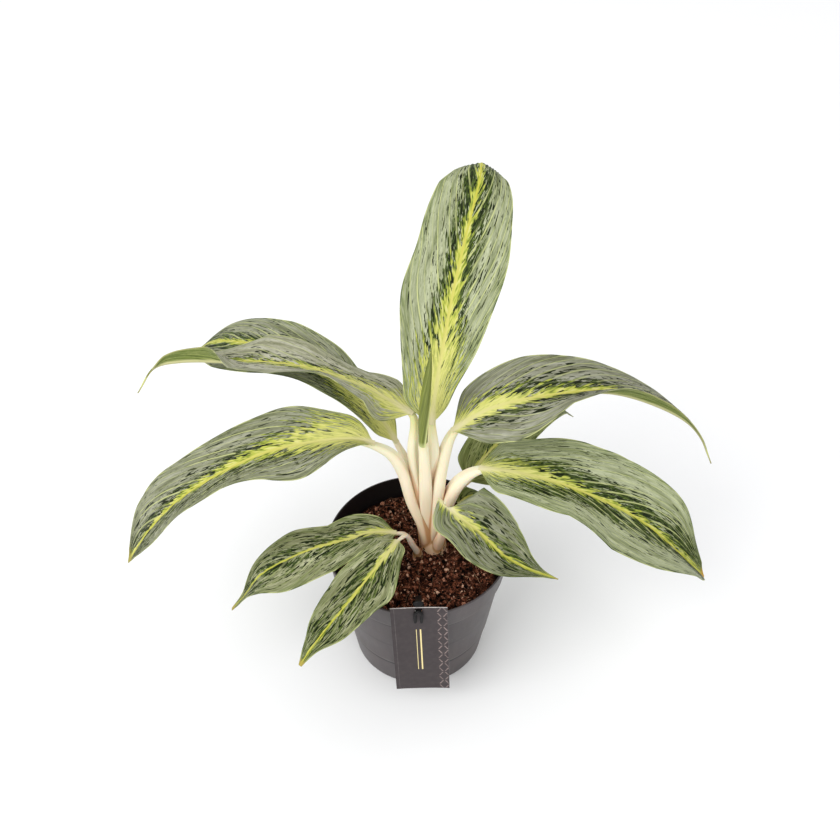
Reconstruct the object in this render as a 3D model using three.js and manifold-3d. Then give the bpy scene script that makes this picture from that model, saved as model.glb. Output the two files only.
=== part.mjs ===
// A potted chinese evergreen: a foliage plant in a thin nursery pot, with a hanging card.
// Millimetres, +Z up, +Y away from the front. The origin is the middle of the pot's underside.
import * as THREE from 'three';
import { mergeGeometries, mergeVertices } from 'three/addons/utils/BufferGeometryUtils.js';
import Module from 'manifold-3d';

const wasm = await Module();
wasm.setup();

// ---------- driving dimensions ----------
const CLEARANCE = 0.3; // between two pieces that touch

const POT_RIM_RADIUS = 60;
const POT_FOOT_RADIUS = 44;
const POT_HEIGHT = 97;
const POT_WALL = 1.6;
const POT_FLOOR = 1.8;
const POT_BAND_HEIGHT = 20; // the wide band under the rim
const POT_BAND_STEP = 1.6;
const POT_RING_HEIGHT = 25; // a fine step round the lower wall
const POT_RING_STEP = 0.5;
const POT_STEP_RISE = 1.5; // how high the slopes of the ring and the band are
const POT_FOOT_CHAMFER = 1.5;
const DRAIN_HOLES = 8;
const DRAIN_HOLE_RADIUS = 4;
const DRAIN_CIRCLE_RADIUS = 33;
const DRAIN_HOLE_SIDES = 12;
const POT_SIDES = 48;

const SOIL_LEVEL = 84;
const SOIL_LUMP = 1.2;
const SOIL_SIDES = 36;
const SOIL_RINGS = [50, 42, 34, 26, 18, 9, 0]; // radii at which the lumpy top is divided

const SHOOT_PLACE = [10, 6]; // where the main shoot stands
const SHOOT_RADIUS = 8.4;
const SHOOT_ROOT_DEPTH = 16;
const SHOOT_TOP = 92;
const SIDE_SHOOT_PLACE = [-0.5, -2.5];
const SIDE_SHOOT_RADIUS = 3.4;
const SIDE_SHOOT_ROOT_DEPTH = 10;
const SIDE_SHOOT_TOP = 90;
const SHOOT_SIDES = 20;
const STALK_SIDES = 10;
const STALK_STEPS = 10;
const STALK_STOP = CLEARANCE + 0.6; // from the end of a stalk to the middle of its blade's foot

const LEAF_THICKNESS = 0.8;
const LEAF_TIP_HALF = 0.6; // half the width of a blade at its very tip
const LEAF_FOOT_HALF = 1.6; // half the width where the blade leaves its stalk
const LEAF_FOOT_ROUNDING = 0.09; // the share of the rib over which the blade's foot rounds out
const LEAF_LOBE_SHARE = 0.35; // the share of the rib over which rounded lobes reach back past the foot
const LEAF_NARROW_HALF = 6; // a half narrower than this lies flatter the narrower it is
const LEAF_WAVY_HALF = 10; // and one narrower than this has lower waves
const LEAF_WAVE_SHIFT = 0.3; // how far the left edge's waves are ahead of the right edge's
const NO_CURL = [0, 0];
const LEAF_CELLS_ACROSS = 6;
const LEAF_CELLS_ALONG = 20;
const SMALL_LEAF_CELLS_ALONG = 14;

const CARD_WIDTH = 35;
const CARD_LENGTH = 85;
const CARD_THICKNESS = 0.8;
const CARD_MIDDLE = [1.6, 65.2]; // x and z of the card's middle
const CARD_LEAN = 2.0; // degrees, top to the left
const CARD_SLOT_WIDTH = 8;
const CARD_SLOT_HEIGHT = 2.6;
const CARD_SLOT_LEVEL = 105;
const CARD_SLOT_X = 0;

const STAKE_WIDTH = 4;
const STAKE_THICKNESS = 1.6;
const STAKE_SOIL_Y = -37;
const STAKE_DEPTH = 24;
const STAKE_BEND_LEVEL = SOIL_LEVEL + 2.5; // where the bar starts to lean out
const STAKE_HEAD_WIDTH = 7;
const STAKE_HEAD_HEIGHT = 5;
const STAKE_HEAD_FLATNESS = 0.6;
const STAKE_TO_CARD = 3; // from the middle of the bar's top to the back of the card
const HOOK_LEG_LENGTH = 9;
const HOOK_LEG_WIDTH = 1.8;
const HOOK_LEG_THICKNESS = 1.2;

// ---------- the leaves ----------
// rib: the midrib from the foot of the blade to its tip
// face: which way the upper side looks, from foot to tip
// left, right: the two halves, seen from the foot with the upper side on top:
//   width of the half, how far it is lifted beside the rib and, where it curls, how much more it is
//   lifted at its edge, each at even places from foot to tip, in millimetres and degrees
//   lobe: how far a rounded lobe of that half reaches back past the foot
// waves: height, number and start of the waves along the edges
const LEAVES = {
  tall_leaf: {
    rib: [[8, 9, 192], [10, 15, 212], [16, 34, 243], [21, 50, 264], [30, 78, 291], [36, 96, 307],
      [38, 113, 309], [40, 145, 287]],
    face: [[0, -1, 0.3], [0, -1, 0.5], [0, -1, 0.6], [0, -0.8, 0.8], [0, 0, 1]],
    left: { width: [16, 20, 26, 30, 27, 26, 22, 10, 1], lift: [5, 5, 0, -10, -25], curl: [0, 0, -20] },
    right: { width: [6, 12, 21, 26, 28, 25, 20, 12, 1], lift: [30, 20, 10, -15, -25], curl: [0, 0, -20] },
    waves: [0.8, 3, 0.2],
  },
  left_back_leaf: {
    rib: [[-13, 23, 164], [-28, 33, 183], [-64, 60, 195], [-97, 81, 194], [-138, 108, 178],
      [-154, 117, 163]],
    face: [[0, -0.4, 1], [0, -0.2, 1], [0, 0, 1]],
    left: { width: [6, 13, 14, 18, 26, 29, 28, 18, 1], lift: [20, 20, 15, 0, 0] },
    right: { width: [6, 10, 13, 21, 24, 27, 28, 21, 1], lift: [0, 0, 0] },
    waves: [0.8, 3, 0.5],
  },
  left_folded_leaf: {
    rib: [[-3, 12, 199], [-35, 24, 211], [-72, 37, 215], [-117, 54, 205], [-152, 66, 195],
      [-173, 75, 182], [-189, 80, 156]],
    face: [[0, -0.4, 1], [0, -0.2, 1], [0, 0, 1]],
    left: {
      width: [12, 24, 24, 27, 25, 13, 8, 1, 0],
      lift: [-15, 48, 55, 40, 39, 85, 90, 90, 70],
    },
    right: { width: [12, 18, 20, 28, 27, 16, 7, 1, 0], lift: [0, -30, -26, -8, -22, -10, 0] },
    waves: [0.8, 3, 0.1],
  },
  left_middle_leaf: {
    rib: [[-26, 2, 184], [-42, -1, 190], [-89, -10, 188], [-139, -18, 161], [-164, -23, 136],
      [-183, -26, 107]],
    face: [[0, -0.3, 1], [0, -0.2, 1], [-0.5, -0.2, 1]],
    left: { width: [6, 15, 27, 20, 15, 16, 18, 11, 1], lift: [40, 18, 9, 20, 20, 12, 15] },
    right: { width: [10, 17, 25, 25, 24, 27, 29, 24, 1], lift: [40, 15, 9, 5, 0, 0, 15] },
    waves: [0.8, 3, 0.7],
  },
  low_left_back_leaf: {
    rib: [[-14, -4, 110], [-31, -7, 113], [-46, -10, 110], [-65, -13, 106], [-84, -17, 99],
      [-102, -20, 87], [-115, -23, 68], [-124, -24, 56]],
    face: [[0, -0.2, 1], [0, -0.2, 1], [-0.5, 0, 1]],
    left: { width: [11, 15, 17, 19, 20, 20, 13, 4, 1], lift: [10, 25, -15, -12, 0, 10, 20] },
    right: { width: [6, 12, 16, 17, 20, 18, 12, 4, 1], lift: [10, 25, -15, -12, 0, 10, 20] },
    waves: [0.6, 2, 0.3],
    small: true,
  },
  low_left_front_leaf: {
    rib: [[-13, -19, 120], [-17, -28, 122], [-38, -58, 116], [-62, -91, 108], [-69, -100, 102]],
    face: [[0, -0.2, 1], [-0.3, -0.2, 1], [-0.5, -0.5, 1]],
    left: { width: [7, 10, 16, 20, 17, 15, 12, 5, 1], lift: [0, 5, -9, -12, -9, -10, 0] },
    right: { width: [16, 13, 16, 21, 21, 18, 14, 7, 1], lift: [0, 5, -9, -12, -9, -10, 0] },
    waves: [0.6, 2, 0.1],
    small: true,
  },
  right_upper_leaf: {
    rib: [[20, 10, 187], [45, 14, 202], [88, 22, 206], [120, 29, 201], [165, 37, 174], [182, 39, 155],
      [194, 40, 129]],
    face: [[0, -0.4, 1], [0, -0.3, 1], [0.2, 0, 1]],
    left: { width: [10, 20, 26, 25, 21, 19, 16, 6, -1], lift: [15, 22, 12, -8, -13, -22, -20] },
    right: { width: [14, 22, 26, 21, 14, 8, 5, 2, -1], lift: [-15, -12, 45, 68, 74, 66, 60] },
    waves: [0.8, 3, 0.4],
  },
  right_middle_leaf: {
    rib: [[37, 3, 162], [60, -2, 163], [95, -9, 156], [137, -17, 136], [175, -23, 99], [184, -23, 88]],
    face: [[0, -0.3, 1], [0, -0.2, 1], [0.5, -0.2, 1]],
    left: { width: [22, 25, 29, 30, 33, 31, 26, 13, 1], lift: [-15, 0, 20, 12, 21, 33, 36] },
    right: { width: [13, 17, 22, 27, 36, 37, 33, 22, 1], lift: [-15, 0, 20, 12, 21, 33, 36] },
    waves: [0.8, 3, 0.8],
  },
  right_low_leaf: {
    rib: [[20, -10, 139], [25, -13, 135], [38, -17, 125], [51, -24, 114], [66, -31, 108], [87, -39, 106]],
    face: [[0, -0.5, 1], [0, -0.4, 1], [0.5, -0.2, 1]],
    left: { width: [24, 24, 24, 22, 20, 16, 9, 3, 0], lift: [15, 25, 20, 20, 10] },
    right: { width: [20, 17, 22, 21, 18, 15, 9, 3, 0], lift: [10, 20, 20, 20, 10], lobe: 10 },
    waves: [0.6, 2, 0.6],
    small: true,
  },
  right_back_leaf: {
    rib: [[33, 29, 123], [39, 34, 133], [50, 43, 142], [64, 55, 147], [82, 70, 146], [97, 83, 139],
      [108, 92, 124]],
    face: [[0, -0.2, 1], [0, 0, 1], [0.2, 0.2, 1]],
    left: { width: [12, 18, 21, 21, 17, 9, 1], lift: [0, 0, 0] },
    right: { width: [16, 20, 18, 15, 11, 6, 1], lift: [0, 0, 0] },
    waves: [0.6, 2, 0.9],
    small: true,
  },
  small_back_leaf: {
    rib: [[26, 16, 115], [31, 19, 118], [37, 22, 118], [43, 25, 114]],
    face: [[0, -0.2, 1], [0, 0, 1]],
    left: { width: [4, 6, 7, 7, 5, 3, 1], lift: [15, 5, 0] },
    right: { width: [4, 6, 7, 7, 5, 3, 1], lift: [15, 5, 0] },
    waves: [0.4, 2, 0.2],
    small: true,
  },
};

// ---------- the leaf stalks ----------
// path: from inside the shoot to the foot of the blade; thickness: radius from bottom to top
const STALKS = {
  main_shoot: [
    { path: [[10, 8, 80], [9.5, 8, 130], [8, 8.5, 170]], leaf: 'tall_leaf', radius: [5, 4.6, 3.6, 1.6] },
    { path: [[7, 9, 80], [2, 12, 125], [-6, 17, 150]], leaf: 'left_back_leaf', radius: [4, 3.8, 3, 1.6] },
    {
      path: [[7.5, 8, 80], [3, 9, 125], [0, 10.5, 165]],
      leaf: 'left_folded_leaf',
      radius: [5, 4.6, 3.4, 1.6],
    },
    {
      path: [[9, 6, 80], [4, 6, 105], [-4, 6, 130], [-10, 5, 158], [-17, 4, 173]],
      leaf: 'left_middle_leaf',
      radius: [5, 5.4, 4.8, 3.8, 1.8],
    },
    {
      path: [[13, 7, 80], [14, 8, 120], [14.5, 9, 155]],
      leaf: 'right_upper_leaf',
      radius: [5, 5, 4, 1.6],
    },
    {
      path: [[13, 5, 84], [15, 6, 105], [19, 6, 128], [27, 5, 149]],
      leaf: 'right_middle_leaf',
      radius: [5, 5.2, 4.8, 3.6, 1.8],
    },
    {
      path: [[11, 3, 84], [14, -2, 100], [17, -7, 120]],
      leaf: 'right_low_leaf',
      radius: [3.6, 3, 2.4, 1.2],
    },
    { path: [[12, 9, 84], [14, 19, 100], [23, 27, 114]], leaf: 'right_back_leaf', radius: [4, 3, 1.6] },
    { path: [[13, 7, 86], [19, 10, 98], [23, 13, 107]], leaf: 'small_back_leaf', radius: [2.4, 2, 1.2] },
  ],
  side_shoot: [
    {
      path: [[-0.5, -2.5, 82], [-1.2, -2.8, 90], [-5, -3, 101], [-9, -3, 107]],
      leaf: 'low_left_back_leaf',
      radius: [3, 2.2, 1.8, 1.2],
    },
    {
      path: [[-0.5, -2.5, 82], [-1, -3.2, 90], [-4.5, -8, 104], [-8, -13, 117]],
      leaf: 'low_left_front_leaf',
      radius: [3, 2.2, 1.8, 1.2],
    },
  ],
};

const YOUNG_LEAF_PATH = [[3, 1, 184], [3.2, 1, 205], [4.6, 1.5, 228], [7.5, 3, 256]];
const YOUNG_LEAF_RADII = [2.8, 3.2, 0.7];
const YOUNG_STALK_PATH = [[8, 5, 84], [5, 3, 125], [3, 1.4, 160], [3, 1, 183.7]];
const YOUNG_STALK_RADII = [4.5, 3.8, 3.2];

// ---------- materials ----------
function material(colour, roughness) {
  return new THREE.MeshStandardMaterial({ color: colour, roughness, metalness: 0 });
}
const potPlastic = material('#4f494b', 0.45);
const pottingSoil = material('#3a2218', 0.95);
const paleStem = material('#e9d8ae', 0.5);
const tanStem = material('#cfa37c', 0.55);
const leafGreen = material('#7d8c72', 0.45);
const lowLeafGreen = material('#84906a', 0.5);
const shadedLeafGreen = material('#55603a', 0.5);
const youngLeafGreen = material('#8f9f3c', 0.45);
const cardPaper = material('#57504f', 0.6);
const blackPlastic = material('#262426', 0.4);

// ---------- helpers ----------
function radians(degrees) {
  return THREE.MathUtils.degToRad(degrees);
}

// a value that runs evenly through a short list as place goes from 0 to 1
function along(list, place) {
  const scaled = Math.min(Math.max(place, 0), 1) * (list.length - 1);
  const step = Math.min(Math.floor(scaled), list.length - 2);
  return THREE.MathUtils.lerp(list[step], list[step + 1], scaled - step);
}

// the same, as a smooth curve through the listed values
function smoothAlong(list, place) {
  const scaled = Math.min(Math.max(place, 0), 1) * (list.length - 1);
  const step = Math.min(Math.floor(scaled), list.length - 2);
  const [from, to] = [list[step], list[step + 1]];
  const slopeFrom = (to - (list[step - 1] ?? 2 * from - to)) / 2;
  const slopeTo = ((list[step + 2] ?? 2 * to - from) - from) / 2;
  const rest = scaled - step;
  return from + slopeFrom * rest + (3 * (to - from) - 2 * slopeFrom - slopeTo) * rest ** 2
    + (2 * (from - to) + slopeFrom + slopeTo) * rest ** 3;
}

function vectorAlong(list, place) {
  const [x, y, z] = [0, 1, 2].map((axis) => along(list.map((point) => point[axis]), place));
  return new THREE.Vector3(x, y, z);
}

function curveThrough(points) {
  const places = points.map((point) => new THREE.Vector3(...point));
  return new THREE.CatmullRomCurve3(places, false, 'centripetal');
}

function bare(geometry) {
  const copy = geometry.clone();
  copy.deleteAttribute('normal');
  copy.deleteAttribute('uv');
  return mergeVertices(copy, 1e-4);
}

function solid(geometry) {
  const merged = bare(geometry);
  const vertProperties = new Float32Array(merged.attributes.position.array);
  const triVerts = new Uint32Array(merged.index.array);
  return new wasm.Manifold(new wasm.Mesh({ numProp: 3, vertProperties, triVerts }));
}

function geometryOf(manifold) {
  const { vertProperties, triVerts } = manifold.getMesh();
  const geometry = new THREE.BufferGeometry();
  geometry.setAttribute('position', new THREE.BufferAttribute(vertProperties, 3));
  geometry.setIndex(new THREE.BufferAttribute(triVerts, 1));
  return geometry;
}

function named(name, geometry, look) {
  const mesh = new THREE.Mesh(geometry, look);
  mesh.name = name;
  return mesh;
}

function uprightCylinder(radius, bottom, top, x, y, sides = SHOOT_SIDES) {
  const cylinder = new THREE.CylinderGeometry(radius, radius, top - bottom, sides);
  return cylinder.rotateX(Math.PI / 2).translate(x, y, (top + bottom) / 2);
}

// a round stalk whose thickness changes as it follows a curve
function taperedStalk(path, radii, steps = STALK_STEPS, sides = STALK_SIDES) {
  const curve = curveThrough(path);
  const frames = curve.computeFrenetFrames(steps);
  const stalk = new THREE.CylinderGeometry(1, 1, steps, sides, steps);
  const places = stalk.attributes.position;
  for (let i = 0; i < places.count; i += 1) {
    const step = Math.round(places.getY(i) + steps / 2);
    const radius = along(radii, step / steps);
    const point = curve.getPointAt(step / steps);
    point.addScaledVector(frames.normals[step], places.getX(i) * radius);
    point.addScaledVector(frames.binormals[step], -places.getZ(i) * radius);
    places.setXYZ(i, point.x, point.y, point.z);
  }
  return stalk;
}

// ---------- pot ----------
function potOuterRadius(height) {
  const taper = (POT_RIM_RADIUS - POT_BAND_STEP - POT_RING_STEP - POT_FOOT_RADIUS) / POT_HEIGHT;
  const ring = height > POT_RING_HEIGHT ? POT_RING_STEP : 0;
  const band = height > POT_HEIGHT - POT_BAND_HEIGHT ? POT_BAND_STEP : 0;
  return POT_FOOT_RADIUS + taper * height + ring + band;
}

function potInnerRadius(height) {
  return potOuterRadius(height) - POT_WALL;
}

// the wall's corners from bottom to top, for the outside, the inside or the soil
function potProfile(radiusAt, bottom, top) {
  const steps = [POT_RING_HEIGHT, POT_HEIGHT - POT_BAND_HEIGHT];
  const corners = steps.flatMap((height) => {
    const above = height + POT_STEP_RISE;
    return [[radiusAt(height), height], [radiusAt(above), above]];
  });
  return [[radiusAt(bottom), bottom], ...corners, [radiusAt(top), top]]
    .map(([radius, height]) => new THREE.Vector2(radius, height));
}

function pot() {
  const foot = new THREE.Vector2(POT_FOOT_RADIUS - POT_FOOT_CHAMFER, 0);
  const outside = potProfile(potOuterRadius, POT_FOOT_CHAMFER, POT_HEIGHT);
  const inside = potProfile(potInnerRadius, POT_FLOOR, POT_HEIGHT).reverse();
  const onAxis = (height) => new THREE.Vector2(0, height);
  const profile = [onAxis(0), foot, ...outside, ...inside, onAxis(POT_FLOOR)];
  let body = solid(new THREE.LatheGeometry(profile, POT_SIDES).rotateX(Math.PI / 2));
  for (let i = 0; i < DRAIN_HOLES; i += 1) {
    const angle = ((i + 0.5) / DRAIN_HOLES) * 2 * Math.PI;
    const x = DRAIN_CIRCLE_RADIUS * Math.cos(angle);
    const y = DRAIN_CIRCLE_RADIUS * Math.sin(angle);
    const hole = uprightCylinder(DRAIN_HOLE_RADIUS, -POT_FLOOR, 2 * POT_FLOOR, x, y, DRAIN_HOLE_SIDES);
    body = body.subtract(solid(hole));
  }
  return named('pot', geometryOf(body), potPlastic);
}

// ---------- soil ----------
function soilLump(x, y) {
  return SOIL_LUMP * (Math.sin(x / 7 + 1) * Math.cos(y / 9) + 0.5 * Math.sin(x / 3.1 - y / 4.3));
}

function soil() {
  const radiusAt = (height) => potInnerRadius(height) - CLEARANCE;
  const bottom = POT_FLOOR + CLEARANCE;
  const wall = potProfile(radiusAt, bottom, SOIL_LEVEL);
  const top = SOIL_RINGS.map((radius) => new THREE.Vector2(radius, SOIL_LEVEL));
  const profile = [new THREE.Vector2(0, bottom), ...wall, ...top];
  const geometry = new THREE.LatheGeometry(profile, SOIL_SIDES).rotateX(Math.PI / 2);
  const places = geometry.attributes.position;
  for (let i = 0; i < places.count; i += 1) {
    const x = places.getX(i);
    const y = places.getY(i);
    const onTop = places.getZ(i) > SOIL_LEVEL - SOIL_LUMP && Math.hypot(x, y) < SOIL_RINGS[0] + SOIL_LUMP;
    if (onTop) {
      places.setZ(i, SOIL_LEVEL + soilLump(x, y));
    }
  }
  const mainBottom = SOIL_LEVEL - SHOOT_ROOT_DEPTH - CLEARANCE;
  const sideBottom = SOIL_LEVEL - SIDE_SHOOT_ROOT_DEPTH - CLEARANCE;
  const holes = [
    uprightCylinder(SHOOT_RADIUS + CLEARANCE, mainBottom, SHOOT_TOP, ...SHOOT_PLACE),
    uprightCylinder(SIDE_SHOOT_RADIUS + CLEARANCE, sideBottom, SIDE_SHOOT_TOP, ...SIDE_SHOOT_PLACE),
    stakeBar(CLEARANCE),
  ];
  let body = solid(geometry);
  for (const hole of holes) {
    body = body.subtract(solid(hole));
  }
  return named('potting_soil', geometryOf(body), pottingSoil);
}

// ---------- shoots ----------
// each stalk runs on to just short of its blade
function stalkPath(stalk) {
  const foot = new THREE.Vector3(...LEAVES[stalk.leaf].rib[0]);
  const last = new THREE.Vector3(...stalk.path.at(-1));
  const stop = foot.clone().addScaledVector(foot.clone().sub(last).normalize(), -STALK_STOP);
  return [...stalk.path, stop.toArray()];
}

function shoot(name, place, radius, rootDepth, caneTop, extraStalks, look) {
  let body = solid(uprightCylinder(radius, SOIL_LEVEL - rootDepth, caneTop, ...place));
  const stalks = STALKS[name].map((stalk) => taperedStalk(stalkPath(stalk), stalk.radius));
  for (const stalk of [...stalks, ...extraStalks]) {
    body = body.add(solid(stalk));
  }
  return named(name, geometryOf(body), look);
}

function mainShoot() {
  const young = taperedStalk(YOUNG_STALK_PATH, YOUNG_STALK_RADII);
  return shoot('main_shoot', SHOOT_PLACE, SHOOT_RADIUS, SHOOT_ROOT_DEPTH, SHOOT_TOP, [young], paleStem);
}

function sideShoot() {
  const [place, radius, depth] = [SIDE_SHOOT_PLACE, SIDE_SHOOT_RADIUS, SIDE_SHOOT_ROOT_DEPTH];
  return shoot('side_shoot', place, radius, depth, SIDE_SHOOT_TOP, [], tanStem);
}

function youngLeaf() {
  return named('young_rolled_leaf', taperedStalk(YOUNG_LEAF_PATH, YOUNG_LEAF_RADII), youngLeafGreen);
}

// ---------- leaf blades ----------
function bladeHalfWidth(side, place) {
  const least = THREE.MathUtils.lerp(LEAF_FOOT_HALF, LEAF_TIP_HALF, place);
  const rounding = Math.sin((Math.PI / 2) * Math.min(1, place / LEAF_FOOT_ROUNDING));
  return Math.max(smoothAlong(side.width, place) * rounding, least);
}

// the blade's cross-section at a place along its rib: one half, from the rib to across = 1
function bladeHalf(side, place, across) {
  const half = bladeHalfWidth(side, place);
  const narrow = Math.min(1, half / LEAF_NARROW_HALF);
  const start = radians(along(side.lift, place)) * narrow;
  const turn = radians(along(side.curl ?? NO_CURL, place)) * narrow;
  const angle = start + turn * across;
  const bent = Math.abs(turn) > 0.001;
  const out = bent ? (Math.sin(angle) - Math.sin(start)) / turn : Math.cos(start) * across;
  const up = bent ? (Math.cos(start) - Math.cos(angle)) / turn : Math.sin(start) * across;
  return { out: out * half, up: up * half, angle, half };
}

function bladePoint(leaf, curve, place, across, lift) {
  const point = curve.getPointAt(place);
  const forward = curve.getTangentAt(place);
  const up = vectorAlong(leaf.face, place);
  up.addScaledVector(forward, -up.dot(forward)).normalize();
  const outward = new THREE.Vector3().crossVectors(forward, up).multiplyScalar(across < 0 ? -1 : 1);
  const side = across < 0 ? leaf.left : leaf.right;
  const cut = bladeHalf(side, place, Math.abs(across));
  point.addScaledVector(outward, cut.out).addScaledVector(up, cut.up);
  const reach = Math.max(0, 1 - place / LEAF_LOBE_SHARE) ** 2;
  point.addScaledVector(forward, -(side.lobe ?? 0) * across * across * reach);
  const normal = up.clone().multiplyScalar(Math.cos(cut.angle))
    .addScaledVector(outward, -Math.sin(cut.angle));
  const [height, count, phase] = leaf.waves;
  const edge = across * across * Math.min(1, cut.half / LEAF_WAVY_HALF);
  const turns = count * place + phase + (across < 0 ? LEAF_WAVE_SHIFT : 0);
  const wave = height * edge * Math.sin(2 * Math.PI * turns);
  if (across === 0) {
    const other = bladeHalf(leaf.left, place, 0);
    const otherNormal = up.clone().multiplyScalar(Math.cos(other.angle))
      .addScaledVector(outward, Math.sin(other.angle));
    normal.add(otherNormal).divideScalar(1 + Math.cos(cut.angle + other.angle));
  }
  return point.addScaledVector(normal, wave + lift);
}

// one face of the blade as a bent sheet; the underside is the same sheet turned over
function bladeFace(leaf, curve, cells, lift) {
  const face = new THREE.PlaneGeometry(2, 1, LEAF_CELLS_ACROSS, cells);
  const places = face.attributes.position;
  for (let i = 0; i < places.count; i += 1) {
    const point = bladePoint(leaf, curve, 0.5 - places.getY(i), -places.getX(i), lift);
    places.setXYZ(i, point.x, point.y, point.z);
  }
  return face;
}

function turnedOver(face) {
  const flipped = face.clone();
  const corners = flipped.index;
  for (let i = 0; i < corners.count; i += 3) {
    const first = corners.getX(i);
    corners.setX(i, corners.getX(i + 1));
    corners.setX(i + 1, first);
  }
  return flipped;
}

// the narrow wall all round between the two faces
function bladeEdge(upper, lower, cells) {
  const row = LEAF_CELLS_ACROSS + 1;
  const across = Array.from({ length: LEAF_CELLS_ACROSS }, (_, i) => i);
  const down = Array.from({ length: cells }, (_, i) => i);
  const rim = [
    ...across,
    ...down.map((i) => i * row + LEAF_CELLS_ACROSS),
    ...across.map((i) => cells * row + LEAF_CELLS_ACROSS - i),
    ...down.map((i) => (cells - i) * row),
  ];
  const wall = new THREE.PlaneGeometry(1, 1, rim.length, 1);
  const places = wall.attributes.position;
  for (let i = 0; i <= rim.length; i += 1) {
    const corner = rim[i % rim.length];
    [upper, lower].forEach((face, level) => {
      const from = face.attributes.position;
      places.setXYZ(level * (rim.length + 1) + i, from.getX(corner), from.getY(corner), from.getZ(corner));
    });
  }
  return turnedOver(wall);
}

function blade(name, look) {
  const leaf = LEAVES[name];
  const curve = curveThrough(leaf.rib);
  const cells = leaf.small ? SMALL_LEAF_CELLS_ALONG : LEAF_CELLS_ALONG;
  const upper = bladeFace(leaf, curve, cells, LEAF_THICKNESS / 2);
  const lower = bladeFace(leaf, curve, cells, -LEAF_THICKNESS / 2);
  const sheet = mergeGeometries([upper, turnedOver(lower), bladeEdge(upper, lower, cells)]);
  return named(name, bare(sheet), look);
}

// ---------- hanging card and its stake ----------
const CARD_BACK_Y = -POT_RIM_RADIUS - CLEARANCE;
const CARD_FRONT_Y = CARD_BACK_Y - CARD_THICKNESS;

function hangingCard() {
  const board = new THREE.BoxGeometry(CARD_WIDTH, CARD_THICKNESS, CARD_LENGTH);
  board.rotateY(radians(-CARD_LEAN));
  board.translate(CARD_MIDDLE[0], (CARD_BACK_Y + CARD_FRONT_Y) / 2, CARD_MIDDLE[1]);
  const slot = new THREE.BoxGeometry(CARD_SLOT_WIDTH, CARD_THICKNESS * 4, CARD_SLOT_HEIGHT);
  slot.translate(CARD_SLOT_X, CARD_BACK_Y, CARD_SLOT_LEVEL);
  return named('hanging_card', geometryOf(solid(board).subtract(solid(slot))), cardPaper);
}

// a flat bar that leans out over the rim from the soil; more makes it thicker, for its hole
function stakeBar(more) {
  const half = STAKE_THICKNESS / 2 + more;
  const bottom = SOIL_LEVEL - STAKE_DEPTH - more;
  const top = CARD_SLOT_LEVEL + STAKE_THICKNESS;
  const headY = CARD_BACK_Y + STAKE_TO_CARD;
  const side = new THREE.Shape();
  side.moveTo(STAKE_SOIL_Y + half, bottom);
  side.lineTo(STAKE_SOIL_Y + half, STAKE_BEND_LEVEL + half);
  side.lineTo(headY + half, top);
  side.lineTo(headY - half, top);
  side.lineTo(headY - half, CARD_SLOT_LEVEL - STAKE_THICKNESS);
  side.lineTo(STAKE_SOIL_Y - half, STAKE_BEND_LEVEL - half);
  side.lineTo(STAKE_SOIL_Y - half, bottom);
  const width = STAKE_WIDTH + 2 * more;
  const bar = new THREE.ExtrudeGeometry(side, { depth: width, bevelEnabled: false });
  // the drawing plane's x is the model's y, its y is up, and the extrusion runs along the model's x
  return bar.rotateX(Math.PI / 2).rotateZ(Math.PI / 2).translate(-width / 2, 0, 0);
}

// the head behind the card, a bridge through its slot and two legs that hang down in front of it
function stakeHook() {
  const head = new THREE.SphereGeometry(STAKE_HEAD_HEIGHT / 2, 16, 10);
  const headDepth = STAKE_HEAD_FLATNESS * STAKE_HEAD_HEIGHT;
  const headLevel = CARD_SLOT_LEVEL + (STAKE_HEAD_HEIGHT - CARD_SLOT_HEIGHT) / 2;
  head.scale(STAKE_HEAD_WIDTH / STAKE_HEAD_HEIGHT, STAKE_HEAD_FLATNESS, 1);
  head.translate(CARD_SLOT_X, CARD_BACK_Y + CLEARANCE + headDepth / 2, headLevel);

  const bridgeFront = CARD_FRONT_Y - CLEARANCE - HOOK_LEG_THICKNESS;
  const bridgeBack = CARD_BACK_Y + CLEARANCE + headDepth / 2;
  const bridgeWidth = CARD_SLOT_WIDTH - 4 * CLEARANCE;
  const bridgeHeight = CARD_SLOT_HEIGHT - 3 * CLEARANCE;
  const bridge = new THREE.BoxGeometry(bridgeWidth, bridgeBack - bridgeFront, bridgeHeight);
  bridge.translate(CARD_SLOT_X, (bridgeFront + bridgeBack) / 2, CARD_SLOT_LEVEL);

  const legLevel = CARD_SLOT_LEVEL + (bridgeHeight - HOOK_LEG_LENGTH) / 2;
  const legs = [-1, 1].map((sign) => {
    const leg = new THREE.BoxGeometry(HOOK_LEG_WIDTH, HOOK_LEG_THICKNESS, HOOK_LEG_LENGTH);
    const x = CARD_SLOT_X + (sign * (bridgeWidth - HOOK_LEG_WIDTH)) / 2;
    return leg.translate(x, bridgeFront + HOOK_LEG_THICKNESS / 2, legLevel);
  });
  return [head, bridge, ...legs];
}

function stake() {
  let body = solid(stakeBar(0));
  for (const piece of stakeHook()) {
    body = body.add(solid(piece));
  }
  return named('card_stake', geometryOf(body), blackPlastic);
}

// ---------- assembly ----------
const plant = new THREE.Group();
plant.add(pot(), soil(), mainShoot(), sideShoot(), youngLeaf(), hangingCard(), stake());
const bladeLooks = {
  low_left_back_leaf: lowLeafGreen,
  low_left_front_leaf: lowLeafGreen,
  right_back_leaf: shadedLeafGreen,
  small_back_leaf: shadedLeafGreen,
};
for (const name of Object.keys(LEAVES)) {
  plant.add(blade(name, bladeLooks[name] ?? leafGreen));
}

export default plant;
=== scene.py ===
# %% [markdown]
# # A potted chinese evergreen
# The plant has silver-green leaves with dark flecks on pale stalks. It stands in a thin nursery pot
# with a small card hooked into the soil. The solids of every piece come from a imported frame. This
# lesson dresses them: it makes finer leaves, stalks, soil, pot and card in the same places.

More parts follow.
